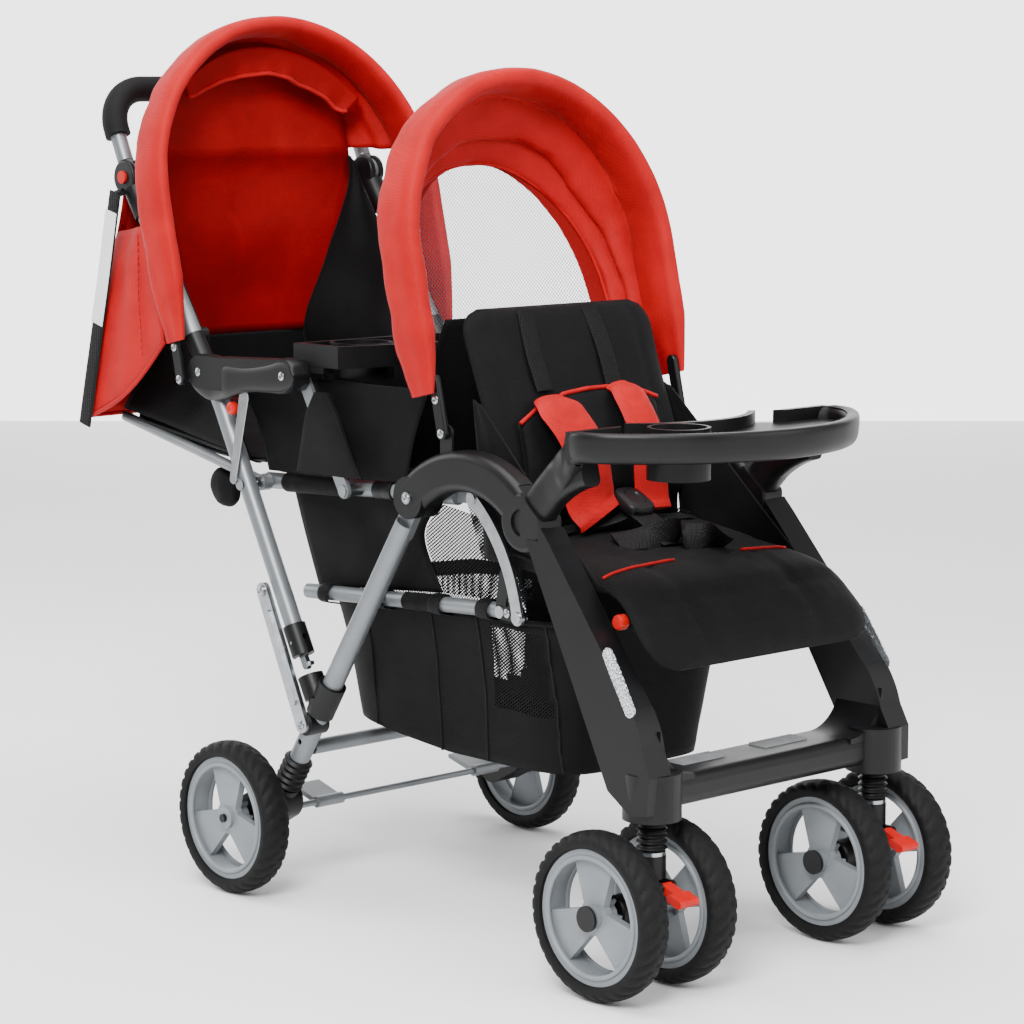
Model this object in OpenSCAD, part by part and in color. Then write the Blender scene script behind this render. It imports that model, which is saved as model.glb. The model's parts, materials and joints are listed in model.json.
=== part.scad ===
// Tandem stroller: two seats in line on a folding tube frame.
// X points forward, Y to the rider's left, Z up; the origin is on the floor under the middle.

/* [Wheels] */
// Diameter of every wheel over its tyre
wheel_d = 185; // [150:1:220]
// Width of a tyre
tyre_w = 38; // [30:1:46]
// Distance between the rear axle and the front axle
wheelbase = 624; // [560:1:700]
// Rear axle, measured back from the middle of the stroller
rear_axle_back = 186.5; // [150:0.5:230]
// Middle of a rear wheel, measured out from the centre plane
rear_wheel_y = 241; // [235:1:255]
// Middle of a front double wheel, measured out from the centre plane
caster_y = 179; // [170:1:190]
// Distance by which a front axle trails its stem
caster_trail = 26; // [15:1:40]
// Clear space between the two wheels of a front pair
caster_gap = 66; // [62:1:80]

/* [Frame] */
// Diameter of the seat rails and side rails
rail_d = 20; // [16:1:22]
// Diameter of the push tubes
push_d = 22; // [18:1:24]
// Diameter of the rear legs
leg_d = 25; // [22:1:28]
// Wall of every steel tube
tube_wall = 1.5; // [1:0.1:2.5]
// Middle of the seat rails, measured out from the centre plane
rail_y = 150; // [145:1:155]
// Middle of the push tubes and rear legs, measured out from the centre plane
push_y = 193; // [191:1:196]
// Arch pivot, measured forward of the rear axle
arch_pivot_dx = 270.5; // [240:0.5:290]
// Height of the arch pivot
arch_pivot_z = 503; // [470:1:530]
// Push-tube pivot, measured behind the arch pivot
push_pivot_back = 296.5; // [270:0.5:310]
// Height of the push-tube pivot
push_pivot_z = 491; // [470:1:510]
// Lean of the push tubes below their bend
push_lean = 28; // [24:1:32]
// Lean of the push tubes above their bend
push_top_lean = 34; // [30:0.5:38]
// Length of a push tube below its pivot
push_foot_len = 198; // [180:1:210]
// Length of a push tube from its pivot to its bend
push_bend_len = 106; // [95:1:120]
// Length of a push tube above its bend
push_top_len = 325; // [280:1:340]

/* [Handle] */
// Length of the handle arms, from the knuckle to the grip bar
handle_len = 120; // [105:1:150]
// Diameter of the foam grip
grip_d = 32; // [28:1:36]
// Bend radius of the handle corners
handle_bend = 56; // [50:1:60]

/* [Canopies] */
// Height of the front canopy rim above its pivot
front_canopy_h = 405; // [380:1:430]
// Height of the rear canopy rim above its pivot
rear_canopy_h = 438; // [400:1:460]
// Half width of the front canopy, at the middle of its rim
front_canopy_half = 200; // [196:1:206]
// Half width of the rear canopy, at the middle of its rim
rear_canopy_half = 217; // [217:1:224]
// Lean of the canopy rims when pulled back
canopy_lean = 13; // [5:0.5:20]
// Diameter of the padded rim
canopy_rim_d = 22; // [16:1:22]
// Depth of the front hood along its top
front_canopy_depth = 104; // [70:1:120]
// Depth of the rear hood along its top
rear_canopy_depth = 56; // [40:1:60]

/* [Seats] */
// Half width of the seat pads
seat_half = 150; // [130:1:155]
// Thickness of a seat pad
pad_t = 28; // [20:1:36]
// Depth of the basket
basket_h = 180; // [140:1:190]
// Half width of the basket at its top
basket_half = 140.6; // [120:0.2:140.6]

/* [Hidden] */
$fn = 48;

// Shared clearances
overrun = 1;
slide_fit = 0.05;
run_gap = 0.3;
lap_gap = 0.3;

// Main points of the side view, as [x, z]
rear_axle = [-rear_axle_back, wheel_d / 2];
front_axle = [rear_axle[0] + wheelbase, wheel_d / 2];
stem_x = front_axle[0] + caster_trail;
arch_pivot = [rear_axle[0] + arch_pivot_dx, arch_pivot_z];
push_pivot = [arch_pivot[0] - push_pivot_back, push_pivot_z];
push_dir = [-sin(push_lean), cos(push_lean)];
push_top_dir = [-sin(push_top_lean), cos(push_top_lean)];
push_foot = push_pivot - push_foot_len * push_dir;
push_bend = push_pivot + push_bend_len * push_dir;
knuckle = push_bend + push_top_len * push_top_dir;

// Lateral planes
rail_out = rail_y + rail_d / 2;
push_in = push_y - push_d / 2;
push_out = push_y + push_d / 2;

// Rivets
pin_d = 8;
pin_head_d = 14;
pin_head_h = 2;

// Bend radius of the push tubes
push_bend_r = 240;

// Arch between the rear pivot and the front joint
arch_in = rail_out + 1;
arch_t = 34;
arch_out = arch_in + arch_t;
arch_w = 46;
arch_round = 10;
arch_boss_r = 24.5;
arch_joint = arch_pivot + [189.6, -8.7];
arch_joint_r = 33;
arch_rise = 42;
arch_boss_edge = 5;
clevis_t = 10;
leg_top_y = arch_in + arch_t / 2;
clevis_in = leg_top_y - clevis_t / 2;
clevis_pocket_r = 26;
tray_plug_angle = 50;
tray_plug_w = 15;
tray_plug_len = 28;
tray_face = 24;
finger_recess_r = 15;
finger_recess_t = 3;

// Front canopy lug on the arch
front_canopy_pivot = arch_pivot + [57, 78];
front_hinge_in = arch_out - 12.3;
lug_w = 20;
lug_t = 3;
rear_hinge_in = push_in - 5;
rear_tip_in = push_out + 5;
bow_tip_w = 14;
bow_tip_t = 8;
bow_tip_len = 46;
canopy_cloth_t = 5;
front_taper_share = 0.93;
rear_taper_share = 0.985;
canopy_foot_depth = 24;
front_panel_drop = 232;

// Front legs and footrest
leg_splay = 3.3;
leg_toe_r = 110;
leg_toe = arch_joint + [96.4, -248.3];
leg_edge = [[7, -14], [154, -272], [190, -294], [214, -290], [216, -250]];
leg_shin = [[181.4, -179.3], [47.4, -19.3], [30, 0]];
lobe_d = 64;
lobe_bottom = 195;
lobe_top = 246;
step_front = stem_x + 12;
step_back = stem_x - 52;
step_top = 238;
step_bottom = 203;
step_t = 6;
step_round = 12;
step_fillet = 52;
step_half = 178;
reflector_w = 17;
reflector_t = 1.5;
reflector_from = arch_joint + [146, -126];
reflector_to = arch_joint + [182, -180];
grip_pad_w = 26;
grip_pad_t = 1.5;

// Casters
stem_d = 16;
stem_low_d = 12;
stem_flange_d = 30;
stem_flange_t = 4;
stem_flange_z = 156;
stem_top_z = 236;
fork_head_d = 31;
fork_top = stem_flange_z - lap_gap;
fork_low = 112;
fork_arm_w = 26;
fork_arm_t = 22;
fork_hub_d = 36;
axle_d = 10;
cap_d = 28;
cap_t = 3;
lever_w = 18;
lever_len = 34;
lever_t = 9;
lever_pin_d = 6;
lever_pivot = [stem_x + 21, 124];
lever_lug_t = 3;
front_boot_d = 34;
front_boot_ribs = 4;
boot_wall = 2.5;
boot_groove = 4;

// Wheel section
rim_r_share = 0.8;
rim_ring_t = 9;
rim_w_share = 0.74;
rim_lip = 3;
hub_r = 20;
hub_boss_r = 13;
spoke_root_half = 11;
spoke_tip_half = 31;
spoke_t = 9;
spoke_inset = 5;
spoke_count = 3;
hub_rib_t = 3;
hub_rib_count = 6;
tyre_edge = 9;
tread_crown = 3;

// Rear legs and carriage
leg_lean = 31.2;
leg_dir = [-sin(leg_lean), -cos(leg_lean)];
leg_len = 409;
leg_hole_d = 7;
leg_hole_at = [346, 364];
cross_d = 18;
cross_at = 377;
rear_boot_d = 36;
rear_boot_ribs = 4;
rear_boot_from = 391;
rear_boot_to = 434;
carriage_stem_len = 40;
carriage_stem_d = 16;
bush_len = 30;
housing_w = 46;
housing_neck_d = 32;
housing_in = 178;
housing_out = rear_wheel_y - tyre_w / 2 - 3;
brake_at = rear_axle + [44, 10];
brake_d = 8;
pedal_len = 46;
pedal_w = 40;
pedal_t = 6;
pedal_y = 148;

// Bracket that joins rear leg and push tube, with its latch
bracket_at = 299;
bracket_len = 44;
bracket_sleeve_d = 34;
bracket_t = 26;
bracket_cup_d = 31;
bracket_cup_drop = 78;
bracket_cup_gap = 50;
bracket_ear_at = 336;
bracket_ear_r = 14;
collar_d = 28;
collar_above = 14;
collar_below = 14;
hook_slot = 6;
hook_w = 10;
hook_len = 30;
hook_nose = 8;
latch_out = 207;
latch_t = 6;
latch_w = 20;
latch_rib = 3;
latch_top = push_pivot + [50, -123];

// Knuckles and handle
knuckle_d = 42;
knuckle_in = push_y - 12;
knuckle_out = push_y + 11;
knuckle_slot = 8;
knuckle_web = 1;
knuckle_sleeve_d = 28;
knuckle_sleeve_len = 58;
handle_d = 20;
handle_lean = 25.3;
handle_dir = [-sin(handle_lean), cos(handle_lean)];
handle_eye_d = 34;
grip_from = 56;
button_d = 16;
button_h = 5.5;
button_travel = 3;

// Armrests and their struts
armrest_rise = 152;
arm_lean = 30.4;
arm_vec = armrest_rise * [-sin(arm_lean), cos(arm_lean)];
armrest_rear = push_pivot + arm_vec;
strut_base_dx = 172;
strut_base = push_pivot + [strut_base_dx, strut_base_dx * (arch_pivot_z - push_pivot_z) / push_pivot_back];
armrest_front = strut_base + arm_vec;
armrest_in = 187.6;
armrest_out = 214;
armrest_cheek_in = push_out + 2;
armrest_cheek_t = 2.6;
armrest_rear_r = 20;
armrest_front_r = 19;
armrest_top_t = 10;
armrest_body_dx = 32;
ledge = [30, 7];
ledge_at = armrest_front + [15, 4];
ledge_reach = 16;
strut_in = push_in - 1;
strut_w = 18;
strut_t = 5;

// Rear canopy hinge on the push tube
rear_canopy_pivot = push_bend + [-54, 27];
hinge_sleeve_at = 20;
hinge_sleeve_len = 76;
hinge_sleeve_d = 24.8;
back_panel_half = 170;
back_panel_t = 5;
curtain_foot = push_bend + [-246, -34];
curtain_knee = push_bend + [-204, 218];
curtain_head = 190;
curtain_half = 215;
curtain_wall = 3;

// Rear tray
rear_tray_front = armrest_front[0] + 96;
rear_tray_back = armrest_front[0] - 12;
rear_tray_h = 26;
rear_tray_z = ledge_at[1] + ledge[1] + lap_gap;
rear_tray_half = armrest_in - lap_gap;
tray_wall = 4;
tray_pit = 14;
rear_tray_bulge = 700;
rear_cup_r = 34;
rear_cup_setback = 10;

// Front tray
front_tray_z = arch_joint[1] + 78;
front_tray_h = 30;
front_tray_front = arch_joint[0] + 233;
front_tray_back = arch_joint[0] + 82;
front_tray_half = 205;
front_tray_corner_r = 60;
front_tray_corner_x = arch_joint[0] + 100;
front_tray_belly_r = 140;
front_tray_belly_x = arch_joint[0] - 36;
front_arm_w = 40;
front_arm_t = 26;
front_arm_end_angle = 15;
front_arm_r = 150;
front_arm_round = 9;
front_cup_r = 31;
front_cup_depth = 57;
front_cup_x = arch_joint[0] + 131;
front_cup_y = -82;
tray_rim_w = 9;

// Rails and links
side_rail_d = 18;
side_rail_rear = push_pivot + [62, -128];
side_rail_front = arch_pivot + [136, -119];
rail_tail = 14;
rail_nose = 38;
rail_tongue_t = 5;
rail_tongue_w = 14;
rail_tongue_in = rail_y - rail_tongue_t / 2;
rail_plug = 16;
link_top = arch_pivot + [80, 4.4];
link_foot = arch_pivot + [155, -122];
link_w = 16;
link_t = 4;
link_sag = 14;
link_in = rail_out + 4 + lap_gap;
plate_t = 3;

// Soft parts, as side-view paths of [x, z]
seat_flare_share = 0.11;
front_seat_half = link_in + 0.4;
front_seat_path = [arch_pivot + [100, -46], arch_pivot + [200, -60], arch_pivot + [306, -78],
                   arch_pivot + [350, -112], arch_pivot + [382, -152]];
front_back_path = [arch_pivot + [102, -10], arch_pivot + [92, 60], arch_pivot + [62, 140], arch_pivot + [36, 212]];
rear_seat_half = rail_y;
rear_seat_path = [push_pivot + [32, 16.6], push_pivot + [110, 19.8], push_pivot + [214, 24]];
rear_back_path = [push_pivot + [-16, 26], push_pivot + [-120, 28], push_pivot + [-212, 45], push_pivot + [-290, 60]];
pad_crown_share = 0.35;
pad_pull_share = 0.05;
pad_rows = 10;
pad_cols = 10;
rear_back_half = rail_out + 0.6;
rear_back_tube_d = 13;
rear_back_tube_y = rail_out + 2 + rear_back_tube_d / 2;
back_hinge = push_pivot;
back_eye_d = 20;
back_tube_end = push_pivot + [-284, 58];
front_back_rod_d = 12;
basket_top_z = side_rail_front[1] - side_rail_d / 2 - overrun;
basket_rear = arch_pivot[0] - 245;
basket_front = arch_pivot[0] + 222;
basket_wall = 3;
basket_bottom_half_share = 0.86;
basket_rake = 36;
basket_lift = 19;
basket_keel_x = arch_pivot[0] - 24;
strap_w = 25;
strap_t = 4;
strap_top = knuckle + [2, -22];
strap_foot = knuckle + [-73.5, -318];
strap_y = curtain_half + lap_gap;
strap_tab_d = 20;

// Shared shapes

// A side-view point set at a lateral place
function at_y(p, y) = [p[0], y, p[1]];
function lerp(a, b, t) = a + (b - a) * t;

// Left copy and right copy of a piece drawn on the left
module pair() {
  children();
  mirror([0, 1, 0]) children();
}

// A piece drawn on the left, set on the side that s names
module on_side(s) {
  if (s < 0) mirror([0, 1, 0]) children();
  else children();
}

// Side-view profile made solid between two lateral planes
module side(y0, y1) {
  translate([0, y1, 0]) rotate([90, 0, 0]) linear_extrude(y1 - y0) children();
}

// Round bar between two points
module rod(a, b, d) {
  v = b - a;
  translate(a) rotate([0, acos(v[2] / norm(v)), atan2(v[1], v[0])]) cylinder(h = norm(v), d = d);
}

// Round bar along Y at a side-view point
module pin(p, y0, y1, d) {
  translate([p[0], y1, p[1]]) rotate([90, 0, 0]) cylinder(h = y1 - y0, d = d);
}

// Bar with round ends, flat in the side view
module bar2d(a, b, w) {
  v = b - a;
  for (p = [a, b]) translate(p) circle(d = w + 2 * slide_fit);
  translate(a) rotate(atan2(v[1], v[0])) translate([0, -w / 2]) square([norm(v), w]);
}

// Rectangle with round corners, set about its middle
module round_rect(w, h, r) {
  square([w - 2 * r, h], center = true);
  square([w, h - 2 * r], center = true);
  for (x = [-1, 1], y = [-1, 1]) translate([x * (w / 2 - r), y * (h / 2 - r)]) circle(r);
}

// Disc along Y with rounded rims
module round_disc(p, y0, y1, r, edge) {
  translate([p[0], y1, p[1]]) rotate([90, 0, 0]) rotate_extrude() {
    square([r - edge, y1 - y0]);
    translate([0, edge]) square([r, y1 - y0 - 2 * edge]);
    for (h = [edge, y1 - y0 - edge]) translate([r - edge, h]) circle(edge);
  }
}

// Section swept on an arc in the side view, between two angles
module arc_sweep(centre, r, a0, a1) {
  translate([centre[0], 0, centre[1]]) rotate([90, 0, 0]) rotate([0, 0, a0])
    rotate_extrude(angle = a1 - a0) translate([r, 0]) children();
}

// Open-ended tube between two points
module tube(a, b, d) {
  v = (b - a) / norm(b - a);
  difference() {
    rod(a, b, d);
    rod(a - overrun * v, b + overrun * v, d - 2 * tube_wall);
  }
}

// Rivet with a domed head at each end
module rivet(p, y0, y1) {
  pin(p, y0, y1, pin_d);
  for (y = [y0 - pin_head_h, y1]) pin(p, y, y + pin_head_h, pin_head_d);
}

// Front section

// Circle that carries the arch
arch_centre = arch_circle(arch_pivot, arch_joint, arch_rise);
arch_r = norm(arch_pivot - arch_centre);
function arch_circle(a, b, rise) =
  let (m = (a + b) / 2, half = norm(b - a) / 2, r = (half * half + rise * rise) / (2 * rise),
       v = (b - a) / norm(b - a))
  m - (r - rise) * [-v[1], v[0]];
function angle_of(v) = atan2(v[1], v[0]);

module arch_body() {
  plug = [cos(tray_plug_angle), sin(tray_plug_angle)];
  difference() {
    union() {
      arc_sweep(arch_centre, arch_r, angle_of(arch_joint - arch_centre), angle_of(arch_pivot - arch_centre))
        translate([0, -(arch_in + arch_out) / 2]) round_rect(arch_w, arch_t, arch_round);
      pin(arch_pivot, arch_in + lap_gap, arch_out - lap_gap, 2 * arch_boss_r);
      round_disc(arch_joint, arch_in, arch_out, arch_joint_r, arch_boss_edge);
      side(front_hinge_in, front_hinge_in + lug_t) bar2d(front_canopy_pivot, front_canopy_pivot - [0, lug_w * 2], lug_w);
      pin(front_canopy_pivot, front_hinge_in, front_hinge_in + lug_t + lap_gap + bow_tip_t, pin_d);
    }
    pin(arch_pivot, arch_in - overrun, arch_out + overrun, pin_d + 2 * slide_fit);
    pin(arch_pivot, clevis_in - run_gap, clevis_in + clevis_t + run_gap, 2 * clevis_pocket_r);
    translate(at_y(arch_joint, 0)) rotate([0, -tray_plug_angle, 0]) {
      translate([tray_face, 0, -arch_joint_r]) cube([arch_joint_r, arch_out + overrun, 2 * arch_joint_r]);
      translate([tray_face - tray_plug_len - lap_gap, (arch_in + arch_out - tray_plug_w) / 2 - run_gap,
                 -tray_plug_w / 2 - run_gap])
        cube([tray_plug_len + arch_joint_r, tray_plug_w + 2 * run_gap, tray_plug_w + 2 * run_gap]);
    }
    intersection() {
      pin(arch_joint, arch_out - finger_recess_t, arch_out + overrun, 2 * finger_recess_r);
      translate([arch_joint[0] - 2 * finger_recess_r, arch_in, arch_joint[1] - 2 * finger_recess_r])
        cube([2 * finger_recess_r, arch_t + overrun, 4 * finger_recess_r]);
    }
  }
}

module arch(s) { color("#1b1b1d") on_side(s) arch_body(); }

module leg_profile() {
  polygon(concat([for (q = leg_edge) arch_joint + q], [for (q = leg_shin) arch_joint + q]));
  intersection() {
    translate(leg_toe) circle(leg_toe_r);
    translate(arch_joint + leg_edge[1]) square([leg_toe_r, leg_shin[0][1] - leg_edge[1][1]]);
  }
}

// Legs lean out towards the floor, about the middle of the arch joint
module splay() {
  pivot = at_y(arch_joint, (arch_in + arch_out) / 2);
  translate(pivot) rotate([leg_splay, 0, 0]) translate(-pivot) children();
}

module footrest_frame() {
  color("#1b1b1d") difference() {
    union() {
      pair() {
        splay() side(arch_in, arch_out) leg_profile();
        translate([stem_x, caster_y, lobe_bottom]) cylinder(h = lobe_top - lobe_bottom, d = lobe_d);
        translate([step_back, step_half, step_top]) rotate([90, 0, 90]) linear_extrude(step_front - step_back)
          difference() {
            translate([-step_fillet, -step_t]) square([step_fillet + overrun, step_fillet + step_t]);
            translate([-step_fillet, step_fillet]) circle(step_fillet);
          }
      }
      side(-step_half - overrun, step_half + overrun) {
        translate([step_back, step_top - step_t]) square([step_front - step_back - step_round, step_t]);
        translate([step_front - 2 * step_round, step_bottom + step_round])
          square([2 * step_round, step_top - step_bottom - 2 * step_round]);
        translate([step_front - step_round, step_top - step_round]) circle(step_round);
        translate([step_front - step_round, step_bottom + step_round]) circle(step_round);
        translate([step_back, step_bottom]) square([step_t, step_top - step_bottom]);
      }
    }
    pair() {
      pin(arch_joint, arch_in - arch_t, arch_out + overrun, 2 * (arch_joint_r + lap_gap));
      translate([stem_x, caster_y, lobe_bottom - overrun])
        cylinder(h = stem_top_z - lobe_bottom + 2 * step_round, d = stem_d + 2 * slide_fit);
      splay() side(arch_out - reflector_t, arch_out + overrun) bar2d(reflector_from, reflector_to, reflector_w);
    }
  }
}

// Rails and links of the seat frame

module seat_rails() {
  v = (arch_pivot - push_pivot) / norm(arch_pivot - push_pivot);
  tail = push_pivot - rail_tail * v;
  nose = arch_pivot + rail_nose * v;
  color("#a9abad") pair() difference() {
    union() {
      tube(at_y(tail, rail_y), at_y(nose, rail_y), rail_d);
      rod(at_y(nose - rail_plug * v, rail_y), at_y(nose, rail_y), rail_d - tube_wall);
      side(rail_tongue_in, rail_tongue_in + rail_tongue_t) bar2d(nose - rail_tongue_w * v / 2, link_top, rail_tongue_w);
    }
    for (p = [push_pivot, strut_base, arch_pivot, link_top])
      pin(p, rail_y - rail_d, rail_out + overrun, pin_d + 2 * slide_fit);
  }
}

module side_rails() {
  color("#a9abad") pair() difference() {
    tube(at_y(side_rail_rear, rail_y), at_y(side_rail_front, rail_y), side_rail_d);
    pin(lerp(side_rail_front, side_rail_rear, rail_tail / norm(side_rail_front - side_rail_rear)),
        rail_y - side_rail_d, rail_y + side_rail_d, pin_d + 2 * slide_fit);
  }
}

// Centre of the bowed link, behind its chord
link_chord = link_foot - link_top;
link_r = (norm(link_chord) * norm(link_chord) / 4 + link_sag * link_sag) / (2 * link_sag);
link_n = [link_chord[1], -link_chord[0]] / norm(link_chord);
link_centre = (link_top + link_foot) / 2 + link_n * (link_r - link_sag);

module curved_links() {
  color("#b4b6b8") pair() difference() {
    union() {
      arc_sweep(link_centre, link_r, angle_of(link_foot - link_centre), angle_of(link_top - link_centre))
        translate([-link_w / 2, -link_in - link_t]) square([link_w, link_t]);
      for (p = [link_top, link_foot]) pin(p, link_in, link_in + link_t, link_w + 2 * overrun);
    }
    for (p = [link_top, link_foot]) pin(p, link_in - overrun, link_in + link_t + overrun, pin_d + 2 * slide_fit);
  }
}

module link_plates() {
  screw = lerp(side_rail_front, side_rail_rear, rail_tail / norm(side_rail_front - side_rail_rear));
  color("#202022") pair() difference() {
    side(rail_out, rail_out + plate_t) {
      bar2d(screw, link_foot, link_w);
      bar2d(screw, lerp(link_foot, link_top, pad_crown_share), link_w);
      bar2d(link_foot, lerp(link_foot, link_top, pad_crown_share), link_w);
    }
    for (p = [screw, link_foot]) pin(p, rail_out - overrun, rail_out + plate_t + overrun, pin_d + 2 * slide_fit);
  }
}

module frame_rivets() {
  screw = lerp(side_rail_front, side_rail_rear, rail_tail / norm(side_rail_front - side_rail_rear));
  inner = rail_y - rail_d / 2;
  color("#c8cacc") pair() {
    rivet(arch_pivot, inner, arch_out);
    rivet(push_pivot, inner, push_out + lap_gap);
    pin(push_pivot, rear_back_tube_y + rear_back_tube_d / 2 + lap_gap, push_in - lap_gap, pin_head_d);
    rivet(strut_base, inner, strut_in + strut_t + lap_gap);
    pin(strut_base, rail_out, strut_in - lap_gap, pin_head_d);
    rivet(link_top, rail_tongue_in, link_in + link_t);
    rivet(screw, inner, rail_out + plate_t);
    rivet(link_foot, rail_out, link_in + link_t);
  }
}

// Rear legs with the bracket and bar that hold the push tubes

// Point on the middle of a rear leg, by distance from its pivot; the legs splay towards the floor
function leg3(d) = at_y(arch_pivot + d * leg_dir, leg_top_y + (push_y - leg_top_y) * d / leg_len);

module rear_legs() {
  color("#a2a5a8") pair() difference() {
    union() {
      tube(leg3(arch_boss_r + leg_d / 2), leg3(leg_len), leg_d);
      side(clevis_in, clevis_in + clevis_t) bar2d(arch_pivot, arch_pivot + (arch_boss_r + leg_d) * leg_dir, leg_d);
      rod(leg3(leg_len - bush_len), leg3(leg_len), leg_d - tube_wall);
    }
    rod(at_y(arch_pivot + (leg_len - 2 * bush_len) * leg_dir, push_y),
        at_y(arch_pivot + (leg_len + bush_len) * leg_dir, push_y), carriage_stem_d + 2 * slide_fit);
    pin(arch_pivot, clevis_in - overrun, clevis_in + clevis_t + overrun, pin_d + 2 * slide_fit);
    for (d = leg_hole_at) pin(arch_pivot + d * leg_dir, push_y, push_y + leg_d, leg_hole_d);
  }
}

module rear_cross_tube() {
  mid = leg3(cross_at);
  reach = mid[1] - leg_d / 2 - lap_gap;
  color("#a2a5a8") tube([mid[0], -reach, mid[2]], [mid[0], reach, mid[2]], cross_d);
}

bracket_mid = arch_pivot + bracket_at * leg_dir;
cup_top = push_foot - bracket_cup_gap * push_dir;
cup_low = push_foot - bracket_cup_drop * push_dir;
ear = arch_pivot + bracket_ear_at * leg_dir;

module leg_brackets() {
  color("#1b1b1d") pair() difference() {
    union() {
      rod(leg3(bracket_at - bracket_len / 2), leg3(bracket_at + bracket_len / 2), bracket_sleeve_d);
      rod(at_y(cup_top, push_y), at_y(cup_low, push_y), bracket_cup_d);
      side(push_y - bracket_t / 2, push_y + bracket_t / 2)
        polygon([cup_top + [0, -bracket_t / 2], cup_low, ear, bracket_mid]);
      pin(ear, push_y - bracket_t / 2, latch_out - lap_gap, 2 * bracket_ear_r);
      pin(ear, push_y, latch_out + latch_t + lap_gap, pin_d);
    }
    rod(leg3(0), leg3(leg_len), leg_d + 2 * slide_fit);
  }
}

module latch_bars() {
  color("#b9bbbd") pair() difference() {
    union() {
      side(latch_out, latch_out + latch_t) bar2d(ear, latch_top, latch_w);
      side(latch_out, latch_out + latch_t + latch_rib)
        bar2d(lerp(ear, latch_top, pad_crown_share / 2), lerp(latch_top, ear, pad_crown_share / 2), latch_w / 2);
      pin(latch_top, latch_out, latch_out + latch_t + pin_head_h, pin_head_d);
    }
    pin(ear, latch_out - overrun, latch_out + latch_t + latch_rib + overrun, pin_d + 2 * slide_fit);
  }
}

// Push tubes

// Bend of a push tube, on a circle behind it that touches both straight runs
push_bend_cut = push_bend_r * tan((push_top_lean - push_lean) / 2);
push_bend_from = push_bend - push_bend_cut * push_dir;
push_bend_to = push_bend + push_bend_cut * push_top_dir;
push_bend_centre = push_bend_from - push_bend_r * [cos(push_lean), sin(push_lean)];

// Solid run of a push tube with a given section, drawn longer at both ends
module push_run(d, extra) {
  rod(at_y(push_foot - extra * push_dir, push_y), at_y(push_bend_from + overrun * push_dir, push_y), d);
  arc_sweep(push_bend_centre, push_bend_r, push_lean, push_top_lean)
    translate([0, -push_y]) circle(d = d + 2 * slide_fit);
  rod(at_y(push_bend_to - overrun * push_top_dir, push_y),
      at_y(knuckle - (knuckle_d / 2 - extra) * push_top_dir, push_y), d);
}

module push_tubes() {
  color("#b4b6b8") pair() difference() {
    push_run(push_d, 0);
    push_run(push_d - 2 * tube_wall, overrun);
    for (p = [push_pivot, armrest_rear]) pin(p, push_in - overrun, push_out + overrun, pin_d + 2 * slide_fit);
  }
}

hook_pivot = push_foot - collar_below * push_dir / 2;

module push_collars() {
  low = push_foot - (collar_below + hook_w) * push_dir;
  color("#1b1b1d") pair() difference() {
    rod(at_y(push_foot + collar_above * push_dir, push_y), at_y(low, push_y), collar_d);
    rod(at_y(push_foot + 2 * collar_above * push_dir, push_y), at_y(push_foot, push_y), push_d + 2 * slide_fit);
    side(push_y - hook_slot / 2 - run_gap, push_y + hook_slot / 2 + run_gap)
      bar2d(hook_pivot, hook_pivot - 2 * collar_d * push_dir, collar_d + 2 * overrun);
    pin(hook_pivot, push_y - collar_d, push_y + collar_d, pin_d / 2 + 2 * slide_fit);
  }
}

module latch_hooks() {
  tip = hook_pivot - hook_len * push_dir;
  color("#c2c4c6") pair() {
    side(push_y - hook_slot / 2, push_y + hook_slot / 2) {
      bar2d(hook_pivot, tip, hook_w);
      bar2d(tip, tip + [hook_nose, hook_nose / 2], hook_w / 2);
    }
    pin(hook_pivot, push_y - collar_d / 2 + overrun, push_y + collar_d / 2 - overrun, pin_d / 2);
  }
}

// Handle

module handle_knuckles() {
  low = knuckle - knuckle_sleeve_len * push_top_dir;
  slot_in = push_y - knuckle_slot / 2 - run_gap;
  slot_out = push_y + knuckle_slot / 2 + run_gap;
  color("#1b1b1d") pair() {
    difference() {
      union() {
        round_disc(knuckle, knuckle_in, knuckle_out, knuckle_d / 2, arch_boss_edge / 2);
        rod(at_y(low, push_y), at_y(knuckle - handle_eye_d / 2 * push_top_dir, push_y), knuckle_sleeve_d);
      }
      rod(at_y(low - overrun * push_top_dir, push_y), at_y(knuckle - knuckle_d / 2 * push_top_dir, push_y),
          push_d + 2 * slide_fit);
      side(slot_in, slot_out) translate(knuckle) rotate(angle_of(push_top_dir))
        translate([-handle_eye_d / 2 - run_gap, -knuckle_d]) square([2 * knuckle_d, 2 * knuckle_d]);
      pin(knuckle, slot_out + knuckle_web, knuckle_out + overrun, button_d + 2 * slide_fit);
    }
    pin(knuckle, knuckle_in + overrun, slot_out + knuckle_web, pin_d);
  }
}

module knuckle_button(s) {
  color("#d8231f") on_side(s)
    pin(knuckle, slot_floor() + button_travel, slot_floor() + button_travel + button_h, button_d);
}
function slot_floor() = push_y + knuckle_slot / 2 + 2 * run_gap + knuckle_web;

// Path of the handle: two arms, two corners and the bar between them
handle_bar = knuckle + handle_len * handle_dir;
handle_corner = knuckle + (handle_len - handle_bend) * handle_dir;

// Solid stretch of the handle with a given section, from one length up the arms
module handle_run(from, d) {
  reach = push_y - handle_bend + overrun;
  pair() {
    rod(at_y(knuckle + from * handle_dir, push_y), at_y(handle_corner + overrun * handle_dir, push_y), d);
    translate(at_y(handle_corner, push_y - handle_bend)) rotate([0, -handle_lean, 0]) rotate([0, -90, 0])
      rotate_extrude(angle = 90) translate([handle_bend, 0]) circle(d = d + 2 * slide_fit);
  }
  rod(at_y(handle_bar, -reach), at_y(handle_bar, reach), d);
}

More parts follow.
